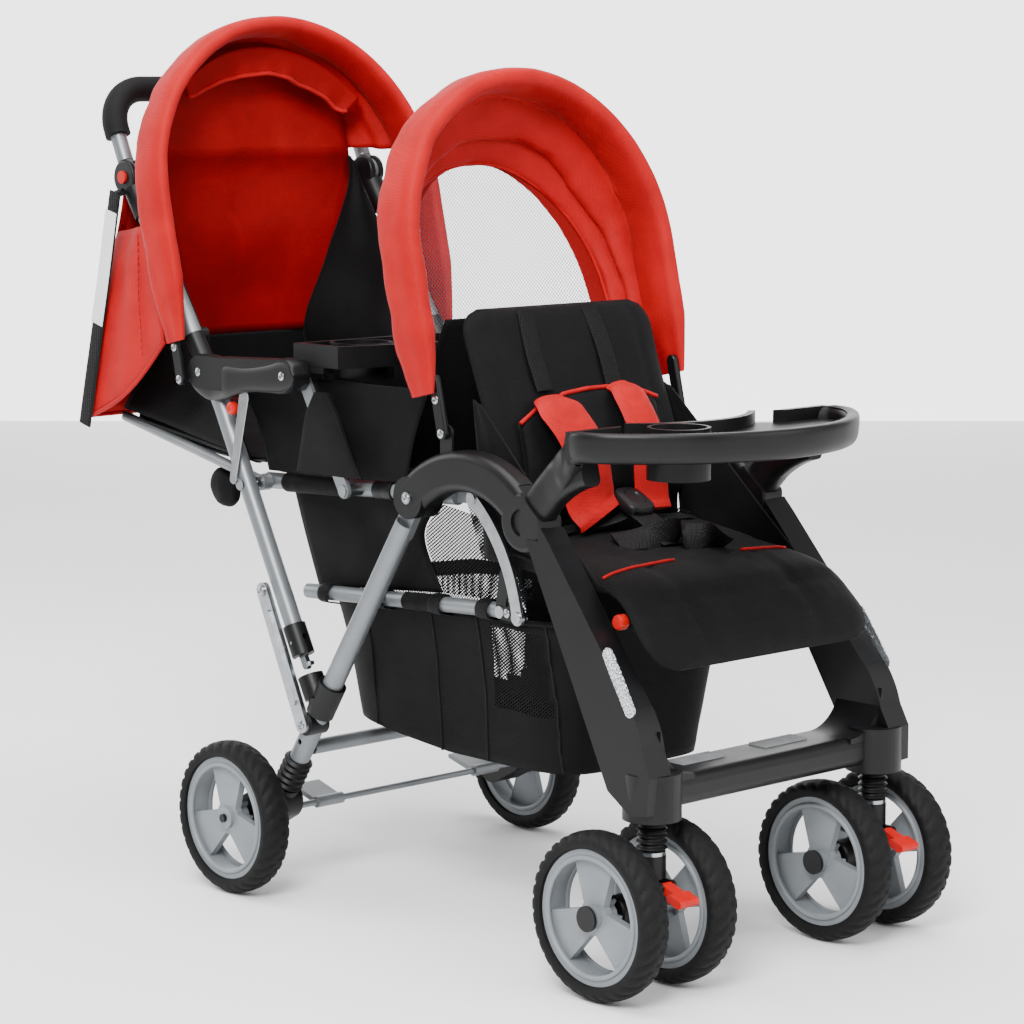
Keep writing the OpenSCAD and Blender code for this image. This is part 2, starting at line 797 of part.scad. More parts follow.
module handle_tube() {
  color("#b4b6b8") difference() {
    union() {
      handle_run(knuckle_d / 2 + lap_gap, handle_d);
      pair() side(push_y - knuckle_slot / 2, push_y + knuckle_slot / 2) {
        translate(knuckle) circle(d = handle_eye_d);
        bar2d(knuckle, knuckle + knuckle_d * handle_dir, handle_d - 2 * tube_wall);
      }
    }
    pair() pin(knuckle, push_in, push_out, pin_d + 2 * slide_fit);
  }
}

module handle_grip() {
  color("#161618") difference() {
    handle_run(grip_from, grip_d);
    handle_run(grip_from - overrun, handle_d + 2 * slide_fit);
  }
}

// Armrests, struts and trays

module armrests() {
  waist = armrest_rear + [armrest_body_dx, 0];
  color("#1b1b1d") pair() {
    side(armrest_cheek_in, armrest_cheek_in + armrest_cheek_t) {
      translate(armrest_rear) circle(armrest_rear_r);
      translate(armrest_rear - [0, armrest_rear_r]) square([2 * armrest_body_dx, 2 * armrest_rear_r]);
    }
    side(armrest_in, armrest_out) {
      translate(armrest_front) circle(armrest_front_r);
      polygon([waist - [0, armrest_rear_r], armrest_front - [0, armrest_front_r],
               armrest_front + [0, armrest_front_r], waist + [0, armrest_rear_r]]);
    }
    side(ledge_y(), armrest_in + overrun) translate(ledge_at) square(ledge);
    pin(armrest_rear, push_in + overrun, armrest_cheek_in + overrun, pin_d);
    pin(armrest_front, strut_in + overrun, armrest_in + overrun, pin_d);
  }
}
function ledge_y() = armrest_in - ledge_reach;

module armrest_struts() {
  color("#b4b6b8") pair() difference() {
    side(strut_in, strut_in + strut_t) bar2d(strut_base, armrest_front, strut_w);
    for (p = [strut_base, armrest_front])
      pin(p, strut_in - overrun, strut_in + strut_t + overrun, pin_d + 2 * slide_fit);
  }
}

// Plan outline of the rear tray, drawn in by an inset
module rear_tray_plan(inset) {
  bow = rear_tray_bulge - inset;
  half = rear_tray_half - inset;
  intersection() {
    translate([rear_tray_back + inset, -half]) square([rear_tray_front - rear_tray_back, 2 * half]);
    translate([rear_tray_front - rear_tray_bulge, 0]) circle(bow);
  }
}

module rear_tray() {
  cup_x = (rear_tray_back + rear_tray_front) / 2 - rear_cup_setback;
  cup_y = rear_tray_half - 2 * rear_cup_r;
  color("#202022") difference() {
    union() {
      translate([0, 0, rear_tray_z]) linear_extrude(rear_tray_h) rear_tray_plan(0);
      translate([cup_x, -cup_y, rear_tray_z - rear_cup_r / 2]) cylinder(h = rear_tray_h, r = rear_cup_r + tray_wall);
    }
    difference() {
      translate([0, 0, rear_tray_z + rear_tray_h - tray_pit]) linear_extrude(rear_tray_h) rear_tray_plan(tray_rim_w);
      translate([cup_x, -cup_y, rear_tray_z]) cylinder(h = 2 * rear_tray_h, r = rear_cup_r + tray_wall);
      for (y = [-1, 1]) translate([rear_tray_back, y * rear_tray_half / 3 - tray_wall, 0])
        cube([rear_tray_front, tray_wall, 2 * rear_tray_z]);
    }
    translate([cup_x, -cup_y, rear_tray_z - rear_cup_r / 2 + tray_wall]) cylinder(h = 2 * rear_tray_h, r = rear_cup_r);
  }
}

// Nose circle of the front tray, which runs into its corner circles
front_tray_nose_x = ((front_tray_front - front_tray_corner_r) ^ 2 - front_tray_corner_x ^ 2
  - (front_tray_half - front_tray_corner_r) ^ 2) / (2 * (front_tray_front - front_tray_corner_r - front_tray_corner_x));

// Plan outline of the front tray, drawn in by an inset
module front_tray_plan(inset) {
  nose = [front_tray_nose_x, 0];
  corner = [front_tray_corner_x, front_tray_half - front_tray_corner_r];
  reach = 2 * (corner - nose) + nose;
  difference() {
    union() {
      intersection() {
        translate(nose) circle(front_tray_front - nose[0] - inset);
        polygon([nose, [reach[0], -reach[1]], [2 * front_tray_front, -reach[1]], [2 * front_tray_front, reach[1]], reach]);
      }
      intersection() {
        for (y = [-1, 1]) translate([corner[0], y * corner[1]]) circle(front_tray_corner_r - inset);
        translate([front_tray_back + inset, -front_tray_half]) square([front_tray_front, 2 * front_tray_half]);
      }
      translate([front_tray_back + inset, inset - front_tray_half])
        square([corner[0] - front_tray_back - inset, 2 * (front_tray_half - inset)]);
      translate([front_tray_back + inset, -corner[1]])
        square([corner[0] + front_tray_corner_r - 2 * inset - front_tray_back, 2 * corner[1]]);
    }
    translate([front_tray_belly_x, 0]) circle(front_tray_belly_r + inset);
  }
}

front_arm_start = arch_joint + (tray_face + lap_gap) * [cos(tray_plug_angle), sin(tray_plug_angle)];
front_arm_centre = front_arm_start + front_arm_r * [sin(tray_plug_angle), -cos(tray_plug_angle)];

module front_tray() {
  mid_y = (arch_in + arch_out) / 2;
  color("#202022") difference() {
    union() {
      translate([0, 0, front_tray_z]) linear_extrude(front_tray_h) front_tray_plan(0);
      translate([front_cup_x, front_cup_y, front_tray_z + front_tray_h - front_cup_depth])
        cylinder(h = front_cup_depth, r = front_cup_r + tray_wall);
      pair() {
        arc_sweep(front_arm_centre, front_arm_r, 90 + front_arm_end_angle, 90 + tray_plug_angle)
          translate([0, -mid_y]) round_rect(front_arm_w, front_arm_t, front_arm_round);
        translate(at_y(arch_joint, mid_y)) rotate([0, -tray_plug_angle, 0])
          translate([tray_face - tray_plug_len, -tray_plug_w / 2, -tray_plug_w / 2])
            cube([tray_plug_len + front_arm_w, tray_plug_w, tray_plug_w]);
      }
    }
    difference() {
      translate([0, 0, front_tray_z + front_tray_h - tray_pit]) linear_extrude(front_tray_h)
        front_tray_plan(tray_rim_w);
      translate([front_cup_x, front_cup_y, 0]) cylinder(h = 2 * front_tray_z, r = front_cup_r + tray_wall);
    }
    translate([front_cup_x, front_cup_y, front_tray_z + front_tray_h - front_cup_depth + tray_wall])
      cylinder(h = 2 * front_cup_depth, r = front_cup_r);
  }
}

// Canopies

// Rim plane of a canopy: local X across, local Y up the rim, local Z backward
module rim_plane(pivot) {
  translate(at_y(pivot, 0)) rotate([0, -canopy_lean, 0]) rotate([90, 0, -90]) children();
}

// Side-view point at a height up the rim and a depth behind it
function rim_point(pivot, h, d) =
  pivot + h * [-sin(canopy_lean), cos(canopy_lean)] - d * [cos(canopy_lean), sin(canopy_lean)];

// Arched outline of a canopy: straight legs under a half circle
module hoop2d(half, h, inset) {
  translate([inset - half, 0]) square([2 * (half - inset), h - half]);
  translate([0, h - half]) circle(half - inset);
}

module canopy_bow(pivot, half, h, tip_in) {
  rim_plane(pivot) {
    for (x = [-half, half]) translate([x, bow_tip_len, 0]) rotate([-90, 0, 0])
      cylinder(h = h - half - bow_tip_len, d = canopy_rim_d);
    translate([0, h - half, 0]) rotate_extrude(angle = 180) translate([half, 0]) circle(d = canopy_rim_d);
  }
  pair() difference() {
    side(tip_in, tip_in + bow_tip_t) bar2d(pivot, rim_point(pivot, bow_tip_len + bow_tip_w, 0), bow_tip_w);
    pin(pivot, tip_in - overrun, tip_in + bow_tip_t + overrun, pin_d + 2 * slide_fit);
  }
}

module front_canopy_bow() {
  color("#d8231f") canopy_bow(front_canopy_pivot, front_canopy_half, front_canopy_h, front_hinge_in + lug_t + lap_gap);
}
module rear_canopy_bow() {
  color("#d8231f") canopy_bow(rear_canopy_pivot, rear_canopy_half, rear_canopy_h, rear_tip_in);
}

// Hood cloth behind a rim, open to the front and cut back towards its foot
module hood(pivot, half, h, depth, taper) {
  start = canopy_rim_d / 2 + lap_gap;
  intersection() {
    rim_plane(pivot) difference() {
      translate([0, 0, start]) linear_extrude(depth, scale = taper) hoop2d(half, h, 0);
      translate([0, 0, start - overrun]) linear_extrude(depth + 2 * overrun, scale = taper)
        hoop2d(half, h, canopy_cloth_t);
    }
    side(-2 * half, 2 * half) polygon([rim_point(pivot, bow_tip_len, 0), rim_point(pivot, h + overrun, 0),
      rim_point(pivot, h + overrun, start + depth), rim_point(pivot, bow_tip_len, start + canopy_foot_depth)]);
  }
}

module front_canopy() {
  top = rim_point(front_canopy_pivot, front_canopy_h * front_taper_share - canopy_cloth_t, front_canopy_depth);
  low = top - [0, front_panel_drop];
  color("#d8231f") {
    hood(front_canopy_pivot, front_canopy_half, front_canopy_h, front_canopy_depth, front_taper_share);
    intersection() {
      side(-front_canopy_half, front_canopy_half) bar2d(top, low, back_panel_t);
      rim_plane(front_canopy_pivot) linear_extrude(3 * front_canopy_depth, scale = front_taper_share)
        hoop2d(front_canopy_half, front_canopy_h, canopy_cloth_t);
    }
  }
}

module rear_canopy() {
  top = rim_point(rear_canopy_pivot, rear_canopy_h * rear_taper_share - canopy_cloth_t, rear_canopy_depth);
  foot = rim_point(rear_canopy_pivot, bow_tip_len, canopy_rim_d / 2 + lap_gap);
  head = rim_point(rear_canopy_pivot, curtain_head, canopy_rim_d / 2 + lap_gap);
  color("#d8231f") {
    difference() {
      hood(rear_canopy_pivot, rear_canopy_half, rear_canopy_h, rear_canopy_depth, rear_taper_share);
      pair() pin(knuckle, back_panel_half, rear_canopy_half + overrun, knuckle_d + 2 * overrun);
    }
    side(-back_panel_half, back_panel_half) bar2d(top, curtain_knee, back_panel_t);
    side(-curtain_half, curtain_half) bar2d(curtain_knee, curtain_foot, back_panel_t);
    pair() side(curtain_half - curtain_wall, curtain_half) polygon([foot, head, curtain_knee, curtain_foot]);
  }
}

module rear_canopy_hinges() {
  low = push_bend + hinge_sleeve_at * push_top_dir;
  high = low + hinge_sleeve_len * push_top_dir;
  color("#1b1b1d") pair() difference() {
    union() {
      rod(at_y(low, push_y), at_y(high, push_y), hinge_sleeve_d);
      pin(high, rear_hinge_in, push_y, lug_w);
      side(rear_hinge_in, rear_hinge_in + lug_t) bar2d(high, rear_canopy_pivot, lug_w);
      pin(rear_canopy_pivot, rear_hinge_in, rear_tip_in + bow_tip_t, pin_d);
    }
    rod(at_y(push_bend, push_y), at_y(knuckle, push_y), push_d + 2 * slide_fit);
    pin(armrest_rear, push_in, armrest_cheek_in, pin_d + 2 * slide_fit);
  }
}

// Casters

module caster_stem(s) {
  color("#8d9093") on_side(s) translate([stem_x, caster_y, 0]) {
    translate([0, 0, stem_flange_z]) cylinder(h = stem_top_z - stem_flange_z, d = stem_d);
    translate([0, 0, stem_flange_z]) cylinder(h = stem_flange_t, d = stem_flange_d);
    translate([0, 0, fork_low + stem_low_d]) cylinder(h = stem_flange_z - fork_low - stem_low_d + overrun, d = stem_low_d);
  }
}

module caster_fork(s) {
  y0 = caster_y - fork_arm_t / 2;
  y1 = caster_y + fork_arm_t / 2;
  elbow = [stem_x, fork_low + fork_arm_w / 2 + overrun];
  run = elbow - front_axle;
  cheek = fork_arm_w / 2 * [-run[1], run[0]] / norm(run);
  color("#1b1b1d") on_side(s) difference() {
    union() {
      translate([stem_x, caster_y, fork_low]) cylinder(h = fork_top - fork_low, d = fork_head_d);
      side(y0, y1) polygon([front_axle + cheek, elbow + cheek, elbow - cheek, front_axle - cheek]);
      side(y0, y1) translate(lever_pivot) circle(lever_pin_d);
      side(y0, y1) translate([stem_x, lever_pivot[1] - lever_pin_d]) square([lever_pivot[0] - stem_x, 2 * lever_pin_d]);
      round_disc(front_axle, caster_y - caster_gap / 2 + lap_gap, caster_y + caster_gap / 2 - lap_gap,
                 fork_hub_d / 2, rim_lip);
    }
    translate([stem_x, caster_y, fork_low + stem_low_d - lap_gap])
      cylinder(h = fork_top, d = stem_low_d + 2 * slide_fit);
    pin(front_axle, y0 - caster_gap, y1 + caster_gap, axle_d + 2 * slide_fit);
    side(y0 + lever_lug_t, y1 - lever_lug_t) translate(lever_pivot) circle(lever_t);
    pin(lever_pivot, y0 - overrun, y1 + overrun, lever_pin_d + 2 * slide_fit);
  }
}

module caster_lever(s) {
  y0 = caster_y - fork_arm_t / 2;
  y1 = caster_y + fork_arm_t / 2;
  tip = lever_pivot + lever_len * [cos(20), -sin(20)];
  color("#d8231f") on_side(s) {
    side(y0 + lever_lug_t + run_gap, y1 - lever_lug_t - run_gap) bar2d(lever_pivot, tip, lever_t);
    side(y0 - lever_lug_t, y1 + lever_lug_t) bar2d(lerp(lever_pivot, tip, 0.62), tip, lever_t);
    pin(lever_pivot, y0 + overrun, y1 - overrun, lever_pin_d);
  }
}

module caster_axle(s) {
  reach = caster_gap / 2 + tyre_w;
  color("#26262a") on_side(s) {
    pin(front_axle, caster_y - reach, caster_y + reach, axle_d);
    for (y = [caster_y - reach - cap_t + overrun, caster_y + reach - overrun]) pin(front_axle, y, y + cap_t, cap_d);
  }
}

// Ribbed boot along local Z, from zero to its length
module boot(len, d, bore, ribs) {
  pitch = len / ribs;
  rotate_extrude() difference() {
    translate([bore / 2, 0]) square([(d - bore) / 2, len]);
    for (i = [1 : ribs - 1]) translate([d / 2, i * pitch]) circle(boot_groove);
  }
}

module front_boots() {
  low = stem_flange_z + stem_flange_t + lap_gap;
  color("#1d1d1f") pair() translate([stem_x, caster_y, low])
    boot(lobe_bottom - lap_gap - low, front_boot_d, stem_d + 2 * lap_gap, front_boot_ribs);
}

// Wheels, drawn about Z with the outer face up

module wheel_place(p, y, s) {
  translate([p[0], y, p[1]]) rotate([s > 0 ? -90 : 90, 0, 0]) children();
}

rim_r = rim_r_share * wheel_d / 2;
rim_w = rim_w_share * tyre_w;

module rim() {
  spoke_top = rim_w / 2 - spoke_inset;
  color("#8f9396") difference() {
    union() {
      rotate_extrude() {
        translate([rim_r - rim_ring_t, -rim_w / 2]) square([rim_ring_t, rim_w]);
        translate([rim_r - rim_ring_t, rim_w / 2]) circle(rim_lip);
        translate([rim_r - rim_ring_t, -rim_w / 2]) circle(rim_lip);
      }
      translate([0, 0, -rim_w / 2]) cylinder(h = rim_w, r = hub_boss_r);
      translate([0, 0, spoke_top - spoke_t]) cylinder(h = spoke_t, r = hub_r);
      for (i = [0 : spoke_count - 1]) rotate(90 + i * 360 / spoke_count)
        translate([0, 0, spoke_top - spoke_t]) linear_extrude(spoke_t)
          polygon([[0, spoke_root_half], [rim_r - rim_ring_t + overrun, spoke_tip_half],
                   [rim_r - rim_ring_t + overrun, -spoke_tip_half], [0, -spoke_root_half]]);
      for (i = [0 : hub_rib_count - 1]) rotate(i * 360 / hub_rib_count)
        translate([0, -hub_rib_t / 2, -rim_w / 2]) cube([hub_r, hub_rib_t, rim_w / 2]);
    }
    translate([0, 0, -rim_w]) cylinder(h = 2 * rim_w, d = axle_d + 2 * slide_fit);
  }
}

module tyre() {
  thick = wheel_d / 2 - rim_r - slide_fit;
  color("#141416") rotate_extrude() translate([wheel_d / 2 - thick / 2, 0]) round_rect(thick, tyre_w, tyre_edge);
}

caster_wheel_dy = (caster_gap + tyre_w) / 2;

// Rear carriage: the two axle housings that ride on the rear legs

module rear_axle_housings() {
  neck = rear_boot_to + lap_gap;
  root = neck + housing_w / 2 + overrun;
  color("#1b1b1d") pair() difference() {
    union() {
      rod(at_y(arch_pivot + root * leg_dir, push_y), at_y(arch_pivot + (leg_len - carriage_stem_len) * leg_dir, push_y),
          carriage_stem_d);
      rod(leg3(neck), leg3(root), housing_neck_d);
      side(housing_in, housing_out) bar2d(arch_pivot + root * leg_dir, rear_axle, housing_w);
      pin(rear_axle, housing_out - overrun, rear_wheel_y + tyre_w / 2 - overrun, axle_d);
    }
    pin(brake_at, housing_in - overrun, housing_out + overrun, brake_d + 2 * slide_fit);
  }
}

module rear_boots() {
  a = leg3(rear_boot_to);
  v = leg3(rear_boot_from) - a;
  color("#1d1d1f") pair() translate(a) rotate([0, acos(v[2] / norm(v)), atan2(v[1], v[0])])
    boot(norm(v), rear_boot_d, leg_d + 2 * slide_fit, rear_boot_ribs);
}

module brake_bar() {
  color("#9a9da0") {
    pin(brake_at, -housing_out, housing_out, brake_d);
    pair() difference() {
      side(pedal_y - pedal_w, pedal_y) bar2d(brake_at, brake_at + pedal_len * [-cos(15), sin(15)], pedal_t);
      pin(brake_at, pedal_y - 2 * pedal_w, pedal_y + pedal_w, brake_d);
    }
    pair() pin(brake_at, pedal_y - pedal_w, pedal_y, brake_d + pedal_t);
  }
}

// Soft parts

// Place and direction along a side-view path, by share of its length
function path_at(path, u) =
  let (n = len(path) - 1, k = min(floor(u * n), n - 1)) lerp(path[k], path[k + 1], u * n - k);
function path_normal(path, u) =
  let (a = path_at(path, max(u - 0.06, 0)), b = path_at(path, min(u + 0.06, 1)), v = (b - a) / norm(b - a))
  [-v[1], v[0]];

// Crowned pad along a path, with sides drawn in between its corners
module cushion(path, half, thick, flare) {
  crown = function (u, v) pad_crown_share + (1 - pad_crown_share) * (1 - pow(v, 4)) * (1 - pow(2 * u - 1, 4));
  point = function (i, j, face)
    let (u = i / pad_rows, v = 2 * j / pad_cols - 1,
         p = path_at(path, u) + face * thick / 2 * crown(u, v) * path_normal(path, u))
    [p[0], v * half * (1 - pad_pull_share * sin(180 * u) + flare * max(2 * u - 1, 0)), p[1]];
  cols = pad_cols + 1;
  count = (pad_rows + 1) * cols;
  points = [for (face = [1, -1], i = [0 : pad_rows], j = [0 : pad_cols]) point(i, j, face)];
  top = [for (i = [0 : pad_rows - 1], j = [0 : pad_cols - 1]) let (a = i * cols + j)
    each [[a, a + 1, a + cols], [a + 1, a + cols + 1, a + cols]]];
  low = [for (f = top) [f[2] + count, f[1] + count, f[0] + count]];
  ends = [for (j = [0 : pad_cols - 1]) each [
    [j + 1, j, j + count], [j + 1, j + count, j + 1 + count],
    [pad_rows * cols + j, pad_rows * cols + j + 1, pad_rows * cols + j + count],
    [pad_rows * cols + j + 1, pad_rows * cols + j + 1 + count, pad_rows * cols + j + count]]];
  sides = [for (i = [0 : pad_rows - 1]) let (a = i * cols, b = a + pad_cols) each [
    [a, a + cols, a + count], [a + cols, a + cols + count, a + count],
    [b + cols, b, b + count], [b + cols, b + count, b + cols + count]]];
  polyhedron(points, concat(top, low, ends, sides));
}

module front_seat() { color("#19191b") cushion(front_seat_path, front_seat_half, pad_t, seat_flare_share); }

module front_backrest() {
  hinge = front_back_path[0];
  color("#19191b") {
    cushion(front_back_path, seat_half, pad_t, 0);
    pin(hinge, lap_gap - link_in, link_in - lap_gap, front_back_rod_d);
  }
}

module rear_seat() { color("#19191b") cushion(rear_seat_path, rear_seat_half, pad_t, 0); }
module rear_backrest() { color("#19191b") cushion(rear_back_path, rear_back_half, pad_t, 0); }

module rear_back_tube() {
  color("#b4b6b8") pair() difference() {
    union() {
      rod(at_y(back_hinge, rear_back_tube_y), at_y(back_tube_end, rear_back_tube_y), rear_back_tube_d);
      pin(back_hinge, rear_back_tube_y - rear_back_tube_d / 2, rear_back_tube_y + rear_back_tube_d / 2, back_eye_d);
    }
    pin(back_hinge, rail_y, push_y, pin_d + 2 * slide_fit);
  }
}

// Basket, raked in the side view and drawn in towards its floor
module basket_body(inset) {
  low = basket_top_z - basket_h + inset;
  half = basket_half - inset;
  intersection() {
    side(-basket_half, basket_half) polygon([[basket_rear + inset, basket_top_z], [basket_front - inset, basket_top_z],
      [basket_front - inset - basket_rake, low], [basket_keel_x, low],
      [basket_rear + inset + basket_rake, low + basket_lift]]);
    translate([basket_rear, 0, 0]) rotate([90, 0, 90]) linear_extrude(basket_front - basket_rear)
      polygon([[-half, basket_top_z], [half, basket_top_z],
               [half * basket_bottom_half_share, low], [-half * basket_bottom_half_share, low]]);
  }
}

module basket() {
  color("#141416") difference() {
    basket_body(0);
    translate([0, 0, overrun]) basket_body(basket_wall);
  }
}

module wrist_strap() {
  color("#18181a") mirror([0, 1, 0]) {
    side(strap_y, strap_y + strap_t) bar2d(strap_top, strap_foot, strap_w);
    pin(strap_top, push_y + knuckle_sleeve_d / 2 + lap_gap, strap_y + overrun, strap_tab_d);
  }
}

footrest_frame();
arch(-1);  // arch_right
arch(1);  // arch_left
seat_rails();
side_rails();
curved_links();
link_plates();
frame_rivets();
rear_legs();
rear_cross_tube();
leg_brackets();
latch_bars();
latch_hooks();
push_tubes();
push_collars();
handle_knuckles();
knuckle_button(-1);  // knuckle_button_right
knuckle_button(1);  // knuckle_button_left
handle_tube();
handle_grip();
armrests();
armrest_struts();
rear_tray();
front_tray();
front_canopy_bow();
rear_canopy_bow();
rear_canopy_hinges();
caster_stem(-1);  // caster_stem_right
caster_stem(1);  // caster_stem_left
caster_fork(-1);  // caster_fork_right
caster_fork(1);  // caster_fork_left
caster_lever(-1);  // caster_lever_right
caster_lever(1);  // caster_lever_left
caster_axle(-1);  // caster_axle_right
caster_axle(1);  // caster_axle_left
front_boots();
wheel_place(front_axle, -caster_y - caster_wheel_dy, -1) rim();  // rim_right_outer
wheel_place(front_axle, -caster_y + caster_wheel_dy, 1) rim();  // rim_right_inner
wheel_place(front_axle, caster_y - caster_wheel_dy, -1) rim();  // rim_left_inner
wheel_place(front_axle, caster_y + caster_wheel_dy, 1) rim();  // rim_left_outer
wheel_place(front_axle, -caster_y - caster_wheel_dy, -1) tyre();  // tyre_right_outer
wheel_place(front_axle, -caster_y + caster_wheel_dy, 1) tyre();  // tyre_right_inner
wheel_place(front_axle, caster_y - caster_wheel_dy, -1) tyre();  // tyre_left_inner
wheel_place(front_axle, caster_y + caster_wheel_dy, 1) tyre();  // tyre_left_outer
rear_axle_housings();
rear_boots();
wheel_place(rear_axle, -rear_wheel_y, -1) rim();  // rear_rim_right
wheel_place(rear_axle, rear_wheel_y, 1) rim();  // rear_rim_left
wheel_place(rear_axle, -rear_wheel_y, -1) tyre();  // rear_tyre_right
wheel_place(rear_axle, rear_wheel_y, 1) tyre();  // rear_tyre_left
brake_bar();
front_seat();
front_backrest();
rear_seat();
rear_backrest();
rear_back_tube();
front_canopy();
rear_canopy();
basket();
wrist_strap();
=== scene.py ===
import json
import math

